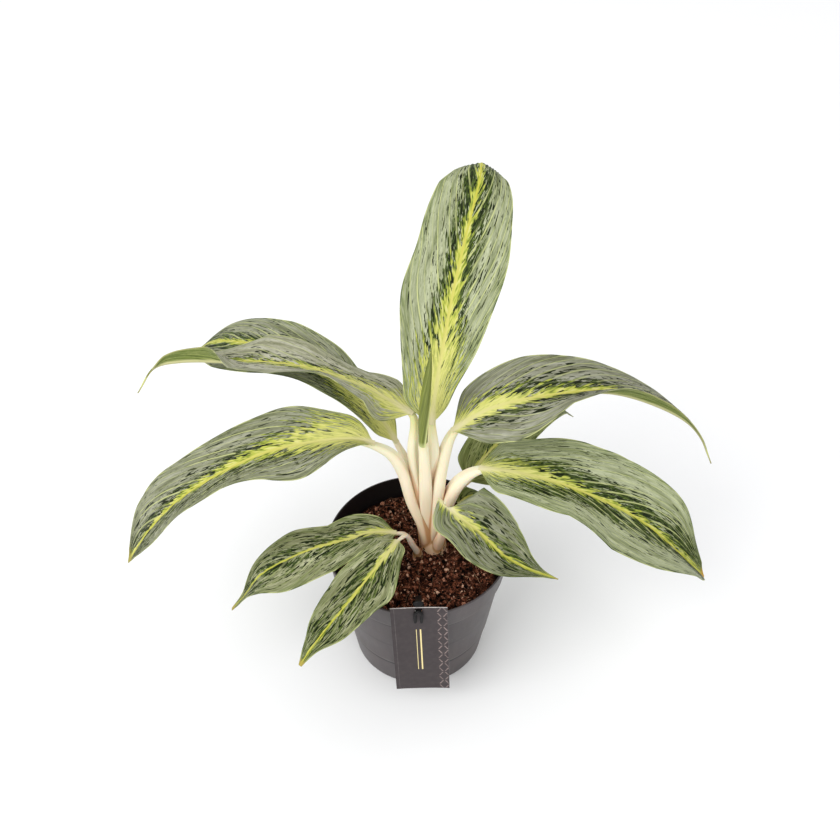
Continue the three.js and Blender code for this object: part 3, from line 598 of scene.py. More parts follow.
def leaf_skin(title, seed, silver, deep, flame, lean, patch, dashes, veined, tip_colour):
    """The upper side of a blade.

    Silver is three tones of the pale tissue, deep three of the dark. Flame is how far the yellow
    reaches from the rib, in mm, at the foot, at mid-leaf and at the tip, and lean is how much
    farther it reaches in the right half than in the left. Patch is how far the dark streaks reach,
    in mm, and how thick they lie, and dashes how much there is of the near-black dashes. Veined is
    how clear the side veins are, from 0 to 1.
    """
    material, node = new_material(title)
    across, share = node("SeparateXYZ", [node("UVMap", uv_map="UVMap")], PAIR)
    count, run = node("SeparateXYZ", [node("UVMap", uv_map="veins")], PAIR)
    from_rib, from_edge = node("SeparateXYZ", [node("UVMap", uv_map="reach")], PAIR)
    light, middle, dull = silver
    dark, green, bright = deep

    def streaks(wide, long, detail, shift, most=1.0):
        """Noise from 0 to most, in spots so many mm wide across the veins and so many long."""
        scaled = node("CombineXYZ", [node(TIMES, [count, VEIN_GAP / wide]), node(TIMES, [run, 1 / long]),
                                     seed + shift])
        spots = node("TexNoise", {"Vector": scaled, "Scale": 1.0, "Detail": detail, "Roughness": 0.55})
        return node(SPAN, [spots, 0.26, 0.74, 0.0, most])

    # silver tissue in broad soft areas, mottled with darker grains
    broad = node(PLUS, [streaks(7, 22, 1.0, 1.3, 0.6), streaks(1.3, 7, 2.0, 2.1, 0.4)])
    colour = node("ValToRGB", [broad], stops=[(0.2, dull), (0.5, middle), (0.8, light)])
    grains = node(EASE, [streaks(0.8, 2.2, 2.0, 2.9), 0.5, 0.9, 0.0, 0.4])

    # each side vein is a soft pale line, some strong and some weak, with greener tissue beside it
    off_vein = node("Math PINGPONG", [count, 0.5])
    which_vein = node("Math FLOOR", [node(PLUS, [count, 0.5])])
    chance = node("TexWhiteNoise", [node(PLUS, [which_vein, seed])], noise_dimensions="1D")
    strength = node(EASE, [chance, 0.1, 0.7, 0.4, 1.0])
    vein_half = node(EASE, [run, 5, 70, 0.15, 0.1])
    vein_line = node(EASE, [node(DIVIDED, [off_vein, vein_half]), 0.3, 1.1, 1.0, 0.0])
    wander = node(EASE, [streaks(3, 16, 1.0, 8.8), 0.15, 0.5, 0.35 * veined, veined])
    vein_seen = node(TIMES, [node(TIMES, [vein_line, strength]), wander])
    halo = node(TIMES, [node(EASE, [off_vein, 0.1, 0.34, 0.6, 0.0]),
                        node(EASE, [streaks(1.6, 9, 2.0, 8.1), 0.35, 0.75])])
    margin = node(TIMES, [node(EASE, [from_edge, 1, 7, 0.6, 0.0]),
                          node(EASE, [streaks(1.2, 10, 2.0, 11.3), 0.3, 0.7])])
    greener = node(HIGHEST, [node(TIMES, [halo, strength]), margin])

    # dark streaks beside the rib: feathered, and broken up by the silver between them
    patch_reach, patch_cover = patch
    near = node(TIMES, [node(EASE, [from_rib, patch_reach * 0.4, patch_reach, 1.0, 0.0]),
                        node(EASE, [share, 0.03, 0.25, 0.6 * patch_cover, patch_cover])])
    feather = node(PLUS, [streaks(0.9, 5, 2.0, 5.2, 0.66), streaks(4.5, 11, 1.0, 6.6, 0.34)])
    streaked = node(EASE, [node(PLUS, [feather, near]), 0.84, 0.9])
    streak_colour = node("ValToRGB", [streaks(0.8, 3.5, 1.0, 7.9)],
                         stops=[(0.15, dark), (0.5, green), (0.85, bright)])

    # near-black dashes in loose groups, most of them a little way out from the rib
    dash = node(HIGHEST, [streaks(1.9, 6.5, 0.0, 3.7), streaks(1.1, 3.0, 0.0, 13.1)])
    for part in (streaks(6, 12, 1.0, 4.4, 0.4), node(EASE, [from_rib, 9, 20, 0.14, 0.0]),
                 node(EASE, [share, 0.0, 0.2, -0.25, 0.0])):
        dash = node(PLUS, [dash, part])
    dashed = node(EASE, [dash, 1.22 - dashes, 1.27 - dashes])

    # yellow-green flames from the rib: licks along the side veins, flecked with green
    foot_reach, middle_reach, tip_reach = flame
    flame_reach = node(PLUS, [node(EASE, [share, 0.05, 0.45, foot_reach - middle_reach, 0.0]),
                              node(EASE, [share, 0.4, 1.0, middle_reach, tip_reach])])
    flame_reach = node(TIMES, [flame_reach, node(EASE, [across, 0.49, 0.51, 1 - lean, 1 + lean])])
    nearness = node(MINUS, [1.0, node(DIVIDED, [from_rib, flame_reach])])
    lick = node(PLUS, [streaks(1.0, 5, 1.0, 9.5, 0.6), streaks(3, 11, 1.0, 9.9, 0.4)])
    lick = node(TIMES_PLUS, [vein_line, 0.35, lick])
    flamed = node(EASE, [node(TIMES_PLUS, [nearness, 0.6, lick]), 0.78, 0.86])
    fleck = node(TIMES_PLUS, [nearness, 0.4, streaks(1.2, 4.5, 1.0, 12.7, 0.75)])
    foot_glow = node(TIMES, [node(EASE, [share, 0.08, 0.38, 0.6, 0.0]),
                             node(EASE, [from_rib, 2, foot_reach * 0.6, 1.0, 0.2])])
    flame_colour = node(LAYER, [foot_glow, node("ValToRGB", [fleck], stops=FLAME_STOPS), FOOT_COLOUR])

    # the rib itself, which is slimmer on a small leaf
    slim = min(1.0, 0.55 + foot_reach / 30)
    rib_half = node(PLUS, [node(EASE, [share, 0.0, 0.1, 1.2, 0.0]),
                           node(EASE, [share, 0.0, 0.6, 1.5, 0.9])])
    rib_half = node(TIMES, [rib_half, node(EASE, [share, 0.4, 1.0, slim, 0.5 * slim])])
    rib = node(EASE, [node(DIVIDED, [from_rib, rib_half]), 0.3, 1.3, 1.0, 0.0])

    # a thin border that changes between green and pale, and a yellow or brown tip
    border = node(TIMES, [node(EASE, [from_edge, 0.3, 0.9, 0.7, 0.0]),
                          node(EASE, [share, 0.01, 0.05])])
    border_colour = node("ValToRGB", [streaks(3, 16, 1.0, 10.1)],
                         stops=[(0.2, green), (0.4, bright), (0.6, VEIN_COLOUR)])
    tip = node(EASE, [share, 0.955, 0.985, 0.0, 0.85])

    for mask, tint in ((grains, bright), (greener, bright), (streaked, streak_colour), (dashed, dark),
                       (vein_seen, VEIN_COLOUR), (flamed, flame_colour),
                       (rib, node("ValToRGB", [share], stops=RIB_STOPS)),
                       (border, border_colour), (tip, tip_colour)):
        colour = node(LAYER, [mask, colour, tint])

    # the waxy film gives a low, broken shine: its relief has fine parallel veins and pores
    fine = node("Math PINGPONG", [node(TIMES, [count, 7.0]), 0.5])
    pores = streaks(0.7, 1.8, 2.0, 2.9)
    relief = node(TIMES_PLUS, [fine, 0.5, node(TIMES, [pores, 0.5])])
    node("OutputMaterial", [node("BsdfPrincipled", {
        "Base Color": colour, "Roughness": node(EASE, [pores, 0.0, 1.0, 0.42, 0.54]), "IOR": 1.45,
        "Specular IOR Level": 0.12,
        "Normal": node("Bump", {"Strength": 0.35, "Distance": 0.12 * MM, "Height": relief})})])
    return material


# %% Underside skin
def leaf_back(title, seed):
    """The underside of a blade: more even, with the veins as fine pale stripes."""
    material, node = new_material(title)
    count, run = node("SeparateXYZ", [node("UVMap", uv_map="veins")], PAIR)
    from_rib, from_edge = node("SeparateXYZ", [node("UVMap", uv_map="reach")], PAIR)
    stripes = node("CombineXYZ", [node(TIMES, [count, 6.0]), node(TIMES, [run, 0.04]), seed])
    stripe = node("TexNoise", {"Vector": stripes, "Scale": 1.0, "Detail": 3.0, "Roughness": 0.6})
    colour = node("ValToRGB", [stripe], stops=[(0.38, "#49561f"), (0.52, "#687634"), (0.62, "#93995c")])
    colour = node(LAYER, [node(EASE, [from_rib, 0.7, 2.0, 1.0, 0.0]), colour, "#b2b07e"])
    colour = node(LAYER, [node(EASE, [from_edge, 0.3, 1.0, 0.8, 0.0]), colour, "#a9a56f"])
    node("OutputMaterial", [node("BsdfPrincipled", {
        "Base Color": colour, "Roughness": 0.5, "IOR": 1.42, "Specular IOR Level": 0.2,
        "Normal": node("Bump", {"Strength": 0.4, "Distance": 0.15 * MM, "Height": stripe})})])
    return material


# %% [markdown]
# ### Each leaf in its own colours
# The upper leaves are cooler and more silver. The low ones, in the shade of the others, are duller
# and older, with yellow tips. The leaf at the back is dark olive.

# %% Make the blades
# light, middle and dull tones
SILVER = ["#b0b594", "#979c7d", "#79805c"]
GREY_SILVER = ["#9a9b87", "#84866f", "#686b50"]
DARK_SILVER = ["#9c9c8d", "#858573", "#686953"]
DULL_SILVER = ["#a8a989", "#8d8f6d", "#6e704f"]
LILAC_SILVER = ["#b3b29f", "#a09f88", "#828268"]
OLIVE_SHADE = ["#939a66", "#7c8350", "#616838"]
# dark, middle and bright tones
DEEP = ["#161f09", "#35431a", "#56662b"]
DEEP_GREY = ["#1b210f", "#3a4423", "#565f36"]

# name: silver, deep, flame reach, its lean, patch reach and cover, dashes, veins, tip
LEAF_LOOKS = {
    "tall_leaf": (SILVER, DEEP, (26, 6, 2.6), 0.0, (16, 0.49), 0.04, 0.9, "#8d9344"),
    "left_back_leaf": (GREY_SILVER, DEEP, (24, 6, 4), 0.0, (16, 0.47), 0.04, 0.8, "#8d9344"),
    "left_folded_leaf": (LILAC_SILVER, DEEP_GREY, (17, 7, 4), -0.3, (12, 0.33), -0.02, 0.5, "#80803f"),
    "left_middle_leaf": (GREY_SILVER, DEEP_GREY, (23, 5, 2.5), 0.3, (15, 0.4), 0.04, 0.8, "#948a3c"),
    "low_left_back_leaf": (DULL_SILVER, DEEP, (4, 1.4, 1), 0.2, (16, 0.36), 0.03, 0.25, "#9f8d42"),
    "low_left_front_leaf": (DULL_SILVER, DEEP, (4, 2, 1.4), 0.0, (18, 0.4), 0.05, 0.35, "#9f8d42"),
    "right_upper_leaf": (DARK_SILVER, DEEP_GREY, (10, 4, 2.5), -0.35, (15, 0.43), 0.04, 0.5, "#7d763c"),
    "right_middle_leaf": (SILVER, DEEP, (11, 4.2, 3.6), -0.25, (19, 0.52), 0.07, 0.8, "#b0842f"),
    "right_low_leaf": (GREY_SILVER, DEEP, (7, 3, 2), 0.0, (11, 0.36), 0.03, 0.3, "#a3944a"),
    "right_back_leaf": (OLIVE_SHADE, DEEP, (3, 1.6, 1), 0.0, (12, 0.3), 0.0, 0.3, "#6c6a38"),
    "small_back_leaf": (OLIVE_SHADE, DEEP, (1.5, 1, 0.8), 0.0, (6, 0.3), 0.0, 0.3, "#6c6a38"),
}
for number, (leaf_name, look) in enumerate(LEAF_LOOKS.items()):
    seed = 11.0 + 7.3 * number
    top_skin = leaf_skin("waxy_upper_skin_" + leaf_name, seed, *look)
    under_skin = leaf_back("waxy_under_skin_" + leaf_name, seed)
    made = blade(leaf_name, top_skin, under_skin, 0.7 * number)
    stands_for(made, "leaf_green", leaf_name)

# %% [markdown]
# ## Stalks
# Every blade stands on a juicy, cream-coloured stalk. Its lower half is a sheath: it is broad, hollow
# on the inner side, and its thin wings clasp the next younger stalk. A stalk could be a curve with a
# bevel, but its outline isn't round. A grid is rolled into a tube instead, with a formula for the
# outline, and its first and last edges are merged where they meet.


# %% Rolled tubes
LEAST_RADIUS = 0.1  # mm
SEAM_GAP = 0.01  # mm, vertices closer than this are merged


def rolled_rows(flat, rows):
    """The share of the length at each vertex of a rolled grid, and 0 where a row closes an end."""
    row = np.round((flat[:, 1] + 1) / 2 * rows)
    return np.clip((row - 1) / (rows - 2), 0, 1), np.where((row == 0) | (row == rows), 0.0, 1.0)


def merge_seam(piece):
    """Merges a rolled grid where its first and last edge meet, and each end into a point."""
    edit_all(piece)
    bpy.ops.mesh.remove_doubles(threshold=SEAM_GAP * MM)
    end_edit()


def tube(name, path, radii, inner=((0, 0, 1),), flatness=0.0, groove=0.0, wings=(0,), sides=32, rows=60):
    """A closed tube. Inner lists the ways its hollow side looks, wings how far its margins stand out."""
    piece, flat = flat_grid(sides, rows)
    around = flat[:, 0] * np.pi
    shares, ends = rolled_rows(flat, rows)
    curve = curve_through(path)

    spots, forward = at_shares(*curve, shares)
    toward = np.stack([evenly([way[k] for way in inner], shares) for k in range(3)], -1)
    toward = unit(toward - forward * np.sum(toward * forward, -1, keepdims=True))
    beside = np.cross(forward, toward)
    radius = np.maximum(smoothly(radii, shares), LEAST_RADIUS) * ends
    flatten = flatness * np.sin(np.pi * np.clip(shares * 1.3, 0, 1))
    dip = groove * radius * np.exp(-(around / 0.55) ** 2) * np.clip((1 - shares) * 8, 0, 1)
    margin = evenly(wings, shares) * np.exp(-((np.abs(around) - 0.85) / 0.2) ** 2) * ends
    inward = np.cos(around) * (radius * (1 - flatten) + margin) - dip
    sideways = np.sin(around) * (radius * (1 + 0.6 * flatten) + margin)
    move_points(piece, spots + toward * inward[:, None] + beside * sideways[:, None])

    corners = corners_of(piece.data)
    set_uv(piece.data, "UVMap", around[corners] / (2 * np.pi) + 0.5, shares[corners])
    merge_seam(piece)
    piece.name = name
    shade_smooth(piece)
    # the middle line and the radius are kept for measuring the gaps to other tubes
    line = np.linspace(0, 1, 60)
    thickness = np.maximum(smoothly(radii, line), LEAST_RADIUS)
    piece["line"] = np.column_stack([at_shares(*curve, line)[0], thickness]).ravel().tolist()
    return piece


# %% [markdown]
# ### Where stalks touch
# Where the sheaths press on each other, the skin paints a tan line into the crease as its shade. The gap
# from every point of a stalk to the nearest other stalk is measured here and kept in a UV map, which the
# skin reads.


# %% Gaps between stalks
def measure_gaps(stalks):
    """Keeps each point's distance to the nearest other stalk, in mm, in a UV map."""
    lines = [np.array(stalk["line"]).reshape(-1, 4) for stalk in stalks]
    for number, stalk in enumerate(stalks):
        places = points_of(stalk) / MM
        gaps = np.full(len(places), 99.0)
        for line in lines[:number] + lines[number + 1:]:
            away = np.linalg.norm(places[:, None, :] - line[None, :, :3], axis=2) - line[None, :, 3]
            gaps = np.minimum(gaps, away.min(1))
        corners = corners_of(stalk.data)
        set_uv(stalk.data, "gaps", gaps[corners], places[corners, 2])
        del stalk["line"]


# %% Stalk skin
def stalk_skin(title, seed, heights, crease_shade, streak_colour):
    """Smooth juicy skin: translucent and softly shining, coloured by its height above the floor."""
    material, node = new_material(title)
    where = node("TexCoord", out=OBJECT)
    level = node("SeparateXYZ", [where], 2)
    height = node(SPAN, [level, 80 * MM, 200 * MM])
    around, along = node("SeparateXYZ", [node("UVMap", uv_map="UVMap")], PAIR)
    gap = node("SeparateXYZ", [node("UVMap", uv_map="gaps")])
    lines = node("CombineXYZ", [node(TIMES, [around, 26.0]), node(TIMES, [along, 2.2]), seed])
    streak = node("TexNoise", {"Vector": lines, "Scale": 1.0, "Detail": 3.0})
    colour = node("ValToRGB", [node(TIMES_PLUS, [streak, 0.12, height])], stops=heights)
    weak = node(SPAN, [streak, 0.5, 0.75, 0.0, 0.35])
    # painted shade: a tan line in the creases where a stalk comes within about a millimetre of another,
    # fading higher up
    painted_crease_shade = node(TIMES, [node(EASE, [gap, 0.1, 1.0, 1.0, 0.0]),
                         node(SPAN, [height, 0.25, 0.8, 0.95, 0.2])])
    spots = node("TexNoise", {"Vector": where, "Scale": 420.0, "Detail": 3.0})
    dirt = node(ABOVE, [spots, node(SPAN, [level, 86 * MM, 96 * MM, 0.5, 1.0])])
    for mask, tint in ((weak, streak_colour), (painted_crease_shade, crease_shade), (dirt, "#4a2a1c")):
        colour = node(LAYER, [mask, colour, tint])
    node("OutputMaterial", [node("BsdfPrincipled", {
        "Base Color": colour, "Roughness": 0.42, "IOR": 1.4, "Specular IOR Level": 0.3,
        "Subsurface Weight": 0.3, "Subsurface Scale": 0.005,
        "Normal": node("Bump", {"Strength": 0.3, "Distance": 0.2 * MM, "Height": streak})})])
    return material


# %% [markdown]
# ### The main shoot
# The stalks stand on a short cane. Each path starts below the soil, runs up close to its neighbours
# and bends out. It ends a little way under its blade, where the stalk thins out into the rib's keel.

# %% Main shoot
CROWN = Vector((10, 6, 0))  # the middle of the main shoot, in mm
SUNK = (0.85, 0.68)  # how deep a stalk lies under its blade at the foot and a little on, in radii
END_RADIUS = 0.45  # how thin it ends there, as a share of its last radius


def stalk(leaf_name, path, radii, flatness=0.2, groove=0.25, wings=(0, 1.0, 0.6, 0, 0, 0)):
    """The stalk of one leaf, from below the soil to just under the foot of its blade."""
    leaf = LEAVES[leaf_name]
    foot = [Vector(at_shares(*leaf["curve"], np.array([share]))[0][0]) for share in (0.0, 0.05)]
    onward = foot[1] - foot[0]
    across = onward.cross(Vector(leaf["face"][0]))
    below = onward.cross(across).normalized()
    under = [spot + below * radii[-1] * sunk for spot, sunk in zip(foot, SUNK)]
    whole = [Vector(p) for p in path] + under
    middle = whole[len(path) // 2]
    # the hollow side looks to the middle of the shoot, and that of a stalk in the middle to the front
    inner = Vector((CROWN.x - middle.x, CROWN.y - middle.y, 0))
    inner = inner.normalized() if inner.length > 0.5 else Vector((0, -1, 0))
    ways = [tuple(inner), tuple(inner), tuple(inner + Vector((0, 0, 1.2))), (0, 0, 1)]
    return tube("stalk_of_" + leaf_name, whole, list(radii) + [radii[-1] * END_RADIUS], ways, flatness,
                groove, wings)


main_stalks = [
    tube("cane", [(10, 6, 68), (10, 6, 80), (10.2, 6, 90), (10.4, 6.2, 99)], [8.2, 8.4, 8.6, 7.6, 4.0],
         sides=48, rows=40),
    tube("young_stalk", [(8, 5, 84), (5.4, 4, 125), (4, 2.4, 160), (3, 1.2, 186)], [4.5, 4.6, 3.9, 2.9],
         [(0, -1, 0)], 0.1, 0.1, (0, 0.6, 0.4, 0.2, 0)),
    stalk("tall_leaf", [(10, 9, 80), (9.6, 9, 130), (9.4, 8.6, 168)], [5, 5.6, 5.0, 3.8]),
    stalk("left_back_leaf", [(7, 9, 80), (2, 12, 125), (-6, 17, 150)], [4.5, 4.2, 3.6, 2.8]),
    stalk("left_folded_leaf", [(6, 8, 80), (1.2, 9, 125), (-3.2, 10, 168)], [5, 5, 4.5, 3.5]),
    stalk("left_middle_leaf", [(8, 5.5, 80), (4, 6, 105), (-4, 6, 130), (-10, 5, 158), (-17, 4, 173)],
          [5, 5.6, 5.4, 4.8, 3.7]),
    stalk("right_upper_leaf", [(10.5, 5.5, 80), (11, 6.2, 118), (13.8, 8, 158)], [5, 6.2, 6.0, 4.4]),
    stalk("right_middle_leaf", [(11.5, 4.5, 84), (13.5, 5.4, 105), (18, 6, 128), (26.5, 5, 149)],
          [5, 5.8, 6.1, 5.7, 4.0]),
    stalk("right_low_leaf", [(11, 3, 84), (14, -2, 100), (17, -7, 120)], [3.6, 3.1, 2.6, 1.8]),
    stalk("right_back_leaf", [(12, 9, 84), (14, 19, 100), (23, 27, 114)], [4, 3.2, 1.8]),
    stalk("small_back_leaf", [(13, 7, 86), (19, 10, 98), (23, 13, 107)], [2.4, 2, 1.3]),
]
measure_gaps(main_stalks)
pale_skin = stalk_skin("juicy_cream_stalk", 3.1, [
    (0.0, "#e3ab86"), (0.1, "#e7ba96"), (0.25, "#ebceae"), (0.42, "#ead6b8"), (0.65, "#e9dfc4"),
    (0.88, "#e2ddbf"), (1.0, "#d4d396")], "#c98f60", "#dcc490")
main_shoot = keep_as(joined(main_stalks), "main_shoot_stalks", pale_skin)
stands_for(main_shoot, "pale_stalk", "main_shoot")

# %% Side shoot
side_stalks = [
    tube("side_cane", [(-0.5, -2.5, 74), (-0.5, -2.5, 84), (-0.7, -2.6, 89), (-1.0, -2.8, 93)],
         [3.2, 3.4, 3.5, 3.2, 1.6], sides=32, rows=30),
    stalk("low_left_back_leaf", [(-0.5, -2.5, 82), (-1.2, -2.8, 90), (-5, -3, 101), (-9, -3, 107)],
          [3, 2.3, 1.9, 1.4], 0.1, 0.15, (0,)),
    stalk("low_left_front_leaf", [(-0.5, -2.5, 82), (-1, -3.2, 90), (-4.5, -8, 104), (-8, -13, 117)],
          [3, 2.3, 1.9, 1.4], 0.1, 0.15, (0,)),
]
measure_gaps(side_stalks)
tan_skin = stalk_skin("juicy_tan_stalk", 8.4, [
    (0.0, "#b08760"), (0.06, "#c9a582"), (0.13, "#d8bfa4"), (0.22, "#dfcfb9"), (0.5, "#dbd2ba")],
    "#94653a", "#ba936c")
side_shoot = keep_as(joined(side_stalks), "side_shoot_stalks", tan_skin)
stands_for(side_shoot, "tan_stalk", "side_shoot")

# %% [markdown]
# ## The young rolled leaf
# The newest leaf is still rolled up like a paper cone. Its outline is a spiral: the radius grows a
# little on the way round, so that the outer edge stands off the roll along a seam. The seam winds
# round the cone toward the tip.

# %% Young leaf
ROLL_ROWS = 90
ROLL_SIDES = 40
ROLL_PATH = [(3, 1, 183.5), (3.2, 1, 205), (4.6, 1.5, 228), (7.5, 3, 256)]
ROLL_RADII = [2.7, 3.1, 2.9, 2.0, 0.25]
SEAM_STEP = 0.6  # mm, how far the outer edge stands off
SEAM_TURN = 0.4  # where the seam starts at the foot, in radians
SEAM_WIND = 2.2  # how far it winds on to the tip

young_leaf, flat = flat_grid(ROLL_SIDES, ROLL_ROWS)
shares, ends = rolled_rows(flat, ROLL_ROWS)
column = np.round((flat[:, 0] + 1) / 2 * ROLL_SIDES)
turned = np.minimum(column / (ROLL_SIDES - 1), 1)  # the last column steps back to the first
lap = np.where(column == ROLL_SIDES, 0, turned) * SEAM_STEP * np.clip((1 - shares) * 5, 0, 1)
round_angle = 2 * np.pi * turned + SEAM_WIND * shares + SEAM_TURN
spots, forward = at_shares(*curve_through(ROLL_PATH), shares)
toward = unit(np.cross(np.tile([1.0, 0, 0], (len(flat), 1)), forward))
beside = np.cross(forward, toward)
radius = np.maximum(smoothly(ROLL_RADII, shares) + lap - SEAM_STEP / 2, LEAST_RADIUS) * ends
move_points(young_leaf, spots + toward * (radius * np.cos(round_angle))[:, None]
            + beside * (radius * np.sin(round_angle))[:, None])
corners = corners_of(young_leaf.data)
set_uv(young_leaf.data, "UVMap", turned[corners], shares[corners])
merge_seam(young_leaf)
shade_smooth(young_leaf, 40)

# the underside of the rolled leaf gives a fresh green with fine streaks and one pale seam
rolled_skin, node = new_material("rolled_leaf_underside")
around, along = node("SeparateXYZ", [node("UVMap", uv_map="UVMap")], PAIR)
lines = node("CombineXYZ", [node(TIMES, [around, 22.0]), node(TIMES, [along, 3.0])])
streak = node("TexNoise", {"Vector": lines, "Scale": 1.0, "Detail": 3.0})
colour = node("ValToRGB", [streak], stops=[(0.3, "#545e1f"), (0.5, "#68712c"), (0.7, "#80873f")])
colour = node(LAYER, [node(SPAN, [around, 0.93, 0.98]), colour, "#cbd08a"])
colour = node(LAYER, [node(SPAN, [along, 0.0, 0.06, 0.7, 0.0]), colour, "#c3c98a"])
node("OutputMaterial", [node("BsdfPrincipled", {
    "Base Color": colour, "Roughness": 0.4, "IOR": 1.42,
    "Normal": node("Bump", {"Strength": 0.4, "Distance": 0.15 * MM, "Height": streak})})])
keep_as(young_leaf, "young_leaf_roll", rolled_skin)
stands_for(young_leaf, "young_leaf_green", "young_rolled_leaf")

# %% [markdown]
# ## The pot
# It is a thin nursery pot, drawn from a sheet of dark polypropylene. A circle is extruded and scaled
# step by step from the foot up the outside, over the rounded rim and down the inside, as a potter
# pulls up a wall. The drain holes are cut with a boolean.

# %% Pot
POT_SIDES = 128
HOLES = 8
HOLE_RADIUS = 4  # mm
HOLE_RING = 33  # mm from the middle of the floor to each hole
# radius and height in mm, up the outside, over the rim and down the inside
POT_FOOT = (42.6, 0)
POT_OUTSIDE = [(43.2, 0.2), (43.8, 0.7), (44.2, 1.5), (47.58, 24.6), (47.75, 25.1), (48.2, 26.3),
               (48.4, 26.9), (55.5, 76.8), (55.8, 77.2), (57.1, 78.4), (57.4, 78.9), (59.75, 95.9),
               (59.85, 96.5), (59.6, 96.9), (59.25, 97.0)]
POT_INSIDE = [(58.85, 96.9), (58.6, 96.5), (58.45, 95.9), (56.1, 78.9), (55.8, 78.4), (54.4, 77.2),
              (54.2, 76.8), (47.1, 26.9), (46.9, 26.3), (46.4, 25.1), (46.3, 24.6), (43.1, 2.6),
              (42.6, 2.0), (41.8, 1.8)]


def pull(rise, grow):
    """Extrudes what is selected upward by so many mm, and scales it about the axis of the pot."""
    bpy.ops.mesh.extrude_region_move(TRANSFORM_OT_translate={"value": (0, 0, rise * MM)})
    bpy.ops.transform.resize(value=(grow, grow, 1), center_override=(0, 0, 0))


def turn_outward(piece):
    """Lets all faces of the piece in edit mode look outward, and ends the edit."""
    bpy.ops.mesh.select_all(action="SELECT")
    bpy.ops.mesh.normals_make_consistent(inside=False)
    end_edit()


deselect()
radius, level = POT_FOOT
bpy.ops.mesh.primitive_circle_add(vertices=POT_SIDES, radius=radius * MM, fill_type="NGON")
pot = bpy.context.object
edit_all(pot)
for next_radius, next_level in POT_OUTSIDE + POT_INSIDE:
    pull(next_level - level, next_radius / radius)
    radius, level = next_radius, next_level
turn_outward(pot)

drill_bits = []
for number in range(HOLES):
    angle = (number + 0.5) / HOLES * 2 * math.pi
    deselect()
    place = Vector((HOLE_RING * math.cos(angle), HOLE_RING * math.sin(angle), 0.5))
    bpy.ops.mesh.primitive_cylinder_add(vertices=24, radius=HOLE_RADIUS * MM, depth=8 * MM,
                                        location=place * MM)
    drill_bits.append(bpy.context.object)
drill = joined(drill_bits)
apply_modifier(pot, "BOOLEAN", object=drill, operation="DIFFERENCE", solver="EXACT")
bpy.data.objects.remove(drill)
shade_smooth(pot, 50)
print("pot wall of", len(POT_OUTSIDE + POT_INSIDE), "rings with", HOLES, "drain holes")

# %% Pot plastic
# height in mm, tone and strength of the lines round the wall: a dark line of painted shade runs under
# each step and a light line of painted highlight over it, and one faint line runs halfway up
POT_LINES_AND_STEP_SHADING = [(76.0, "#141112", 1.0), (79.4, "#5f5856", 0.5), (24.0, "#171415", 1.0),
             (27.0, "#5f5856", 0.4), (50.0, "#2c2728", 0.5)]

# drawn polypropylene gives a cloudy dark grey with a low satin shine
pot_plastic, node = new_material("drawn_polypropylene")
where = node("TexCoord", out=OBJECT)
x, y, level = node("SeparateXYZ", [where], ALL)
cloud = node("TexNoise", {"Vector": where, "Scale": 28.0, "Detail": 3.0})
drawn = node("VectorMath MULTIPLY", [where, (240.0, 240.0, 30.0)])
pulled = node("TexNoise", {"Vector": drawn, "Scale": 1.0, "Detail": 3.0})
dust = node("TexNoise", {"Vector": where, "Scale": 900.0, "Detail": 2.0})
colour = node("ValToRGB", [cloud], stops=[(0.3, "#3a3536"), (0.5, "#423b3d"), (0.7, "#504847")])
colour = node(LAYER, [node(SPAN, [pulled, 0.35, 0.7, 0.0, 0.3]), colour, "#564f4c"])
colour = node(LAYER, [node(SPAN, [dust, 0.68, 0.74, 0.0, 0.4]), colour, "#8b837c"])
# each step gets painted shade below it and a painted highlight above it; the line halfway up is a faint
# line
for middle, tone, strength in POT_LINES_AND_STEP_SHADING:
    off = node("Math ABSOLUTE", [node(MINUS, [level, middle * MM])])
    colour = node(LAYER, [node(SPAN, [off, 0.5 * MM, 1.4 * MM, strength, 0.0]), colour, tone])
# the inside above the soil is near-black: the radius tells in from out
from_axis = node("VectorMath LENGTH", [node("CombineXYZ", [x, y])])
wall_middle = node(SPAN, [level, 79 * MM, 96 * MM, 56.7 * MM, 59.1 * MM])
inside = node(SPAN, [node(MINUS, [from_axis, wall_middle]), -0.3 * MM, 0.1 * MM, 1.0, 0.0])
inside = node(TIMES, [inside, node(ABOVE, [level, 79 * MM])])
colour = node(LAYER, [inside, colour, "#151112"])
node("OutputMaterial", [node("BsdfPrincipled", {
    "Base Color": colour, "IOR": 1.49, "Specular IOR Level": 0.3,
    "Roughness": node(SPAN, [cloud, 0.3, 0.7, 0.36, 0.5]),
    "Normal": node("Bump", {"Strength": 0.25, "Distance": 0.3 * MM,
                            "Height": node(PLUS, [pulled, cloud])})})])
keep_as(pot, "pot_shell", pot_plastic)
stands_for(pot, "pot_plastic", "pot")

# %% [markdown]
# ## The potting soil
# It is peat and coir: dark, loose and full of crumbs. A fine grid becomes a disc with lumps of three
# sizes. Its edge is pulled down along the wall of the pot, so that the soil is a solid body. On top
# lie loose crumbs and coir fibres. The crumbs are copied from five models with few faces, because
# there are thousands of them, and each fibre is a strand of its own that follows the soil.

# %% Soil body
SOIL_LEVEL = 84  # mm above the floor
SOIL_RADIUS = 56.0  # mm
SOIL_CELLS = 170
SOIL_SIDE = [(7, 0.982), (50, 0.835), (23, 0.91)]  # how far each step goes down, in mm, and how it shrinks


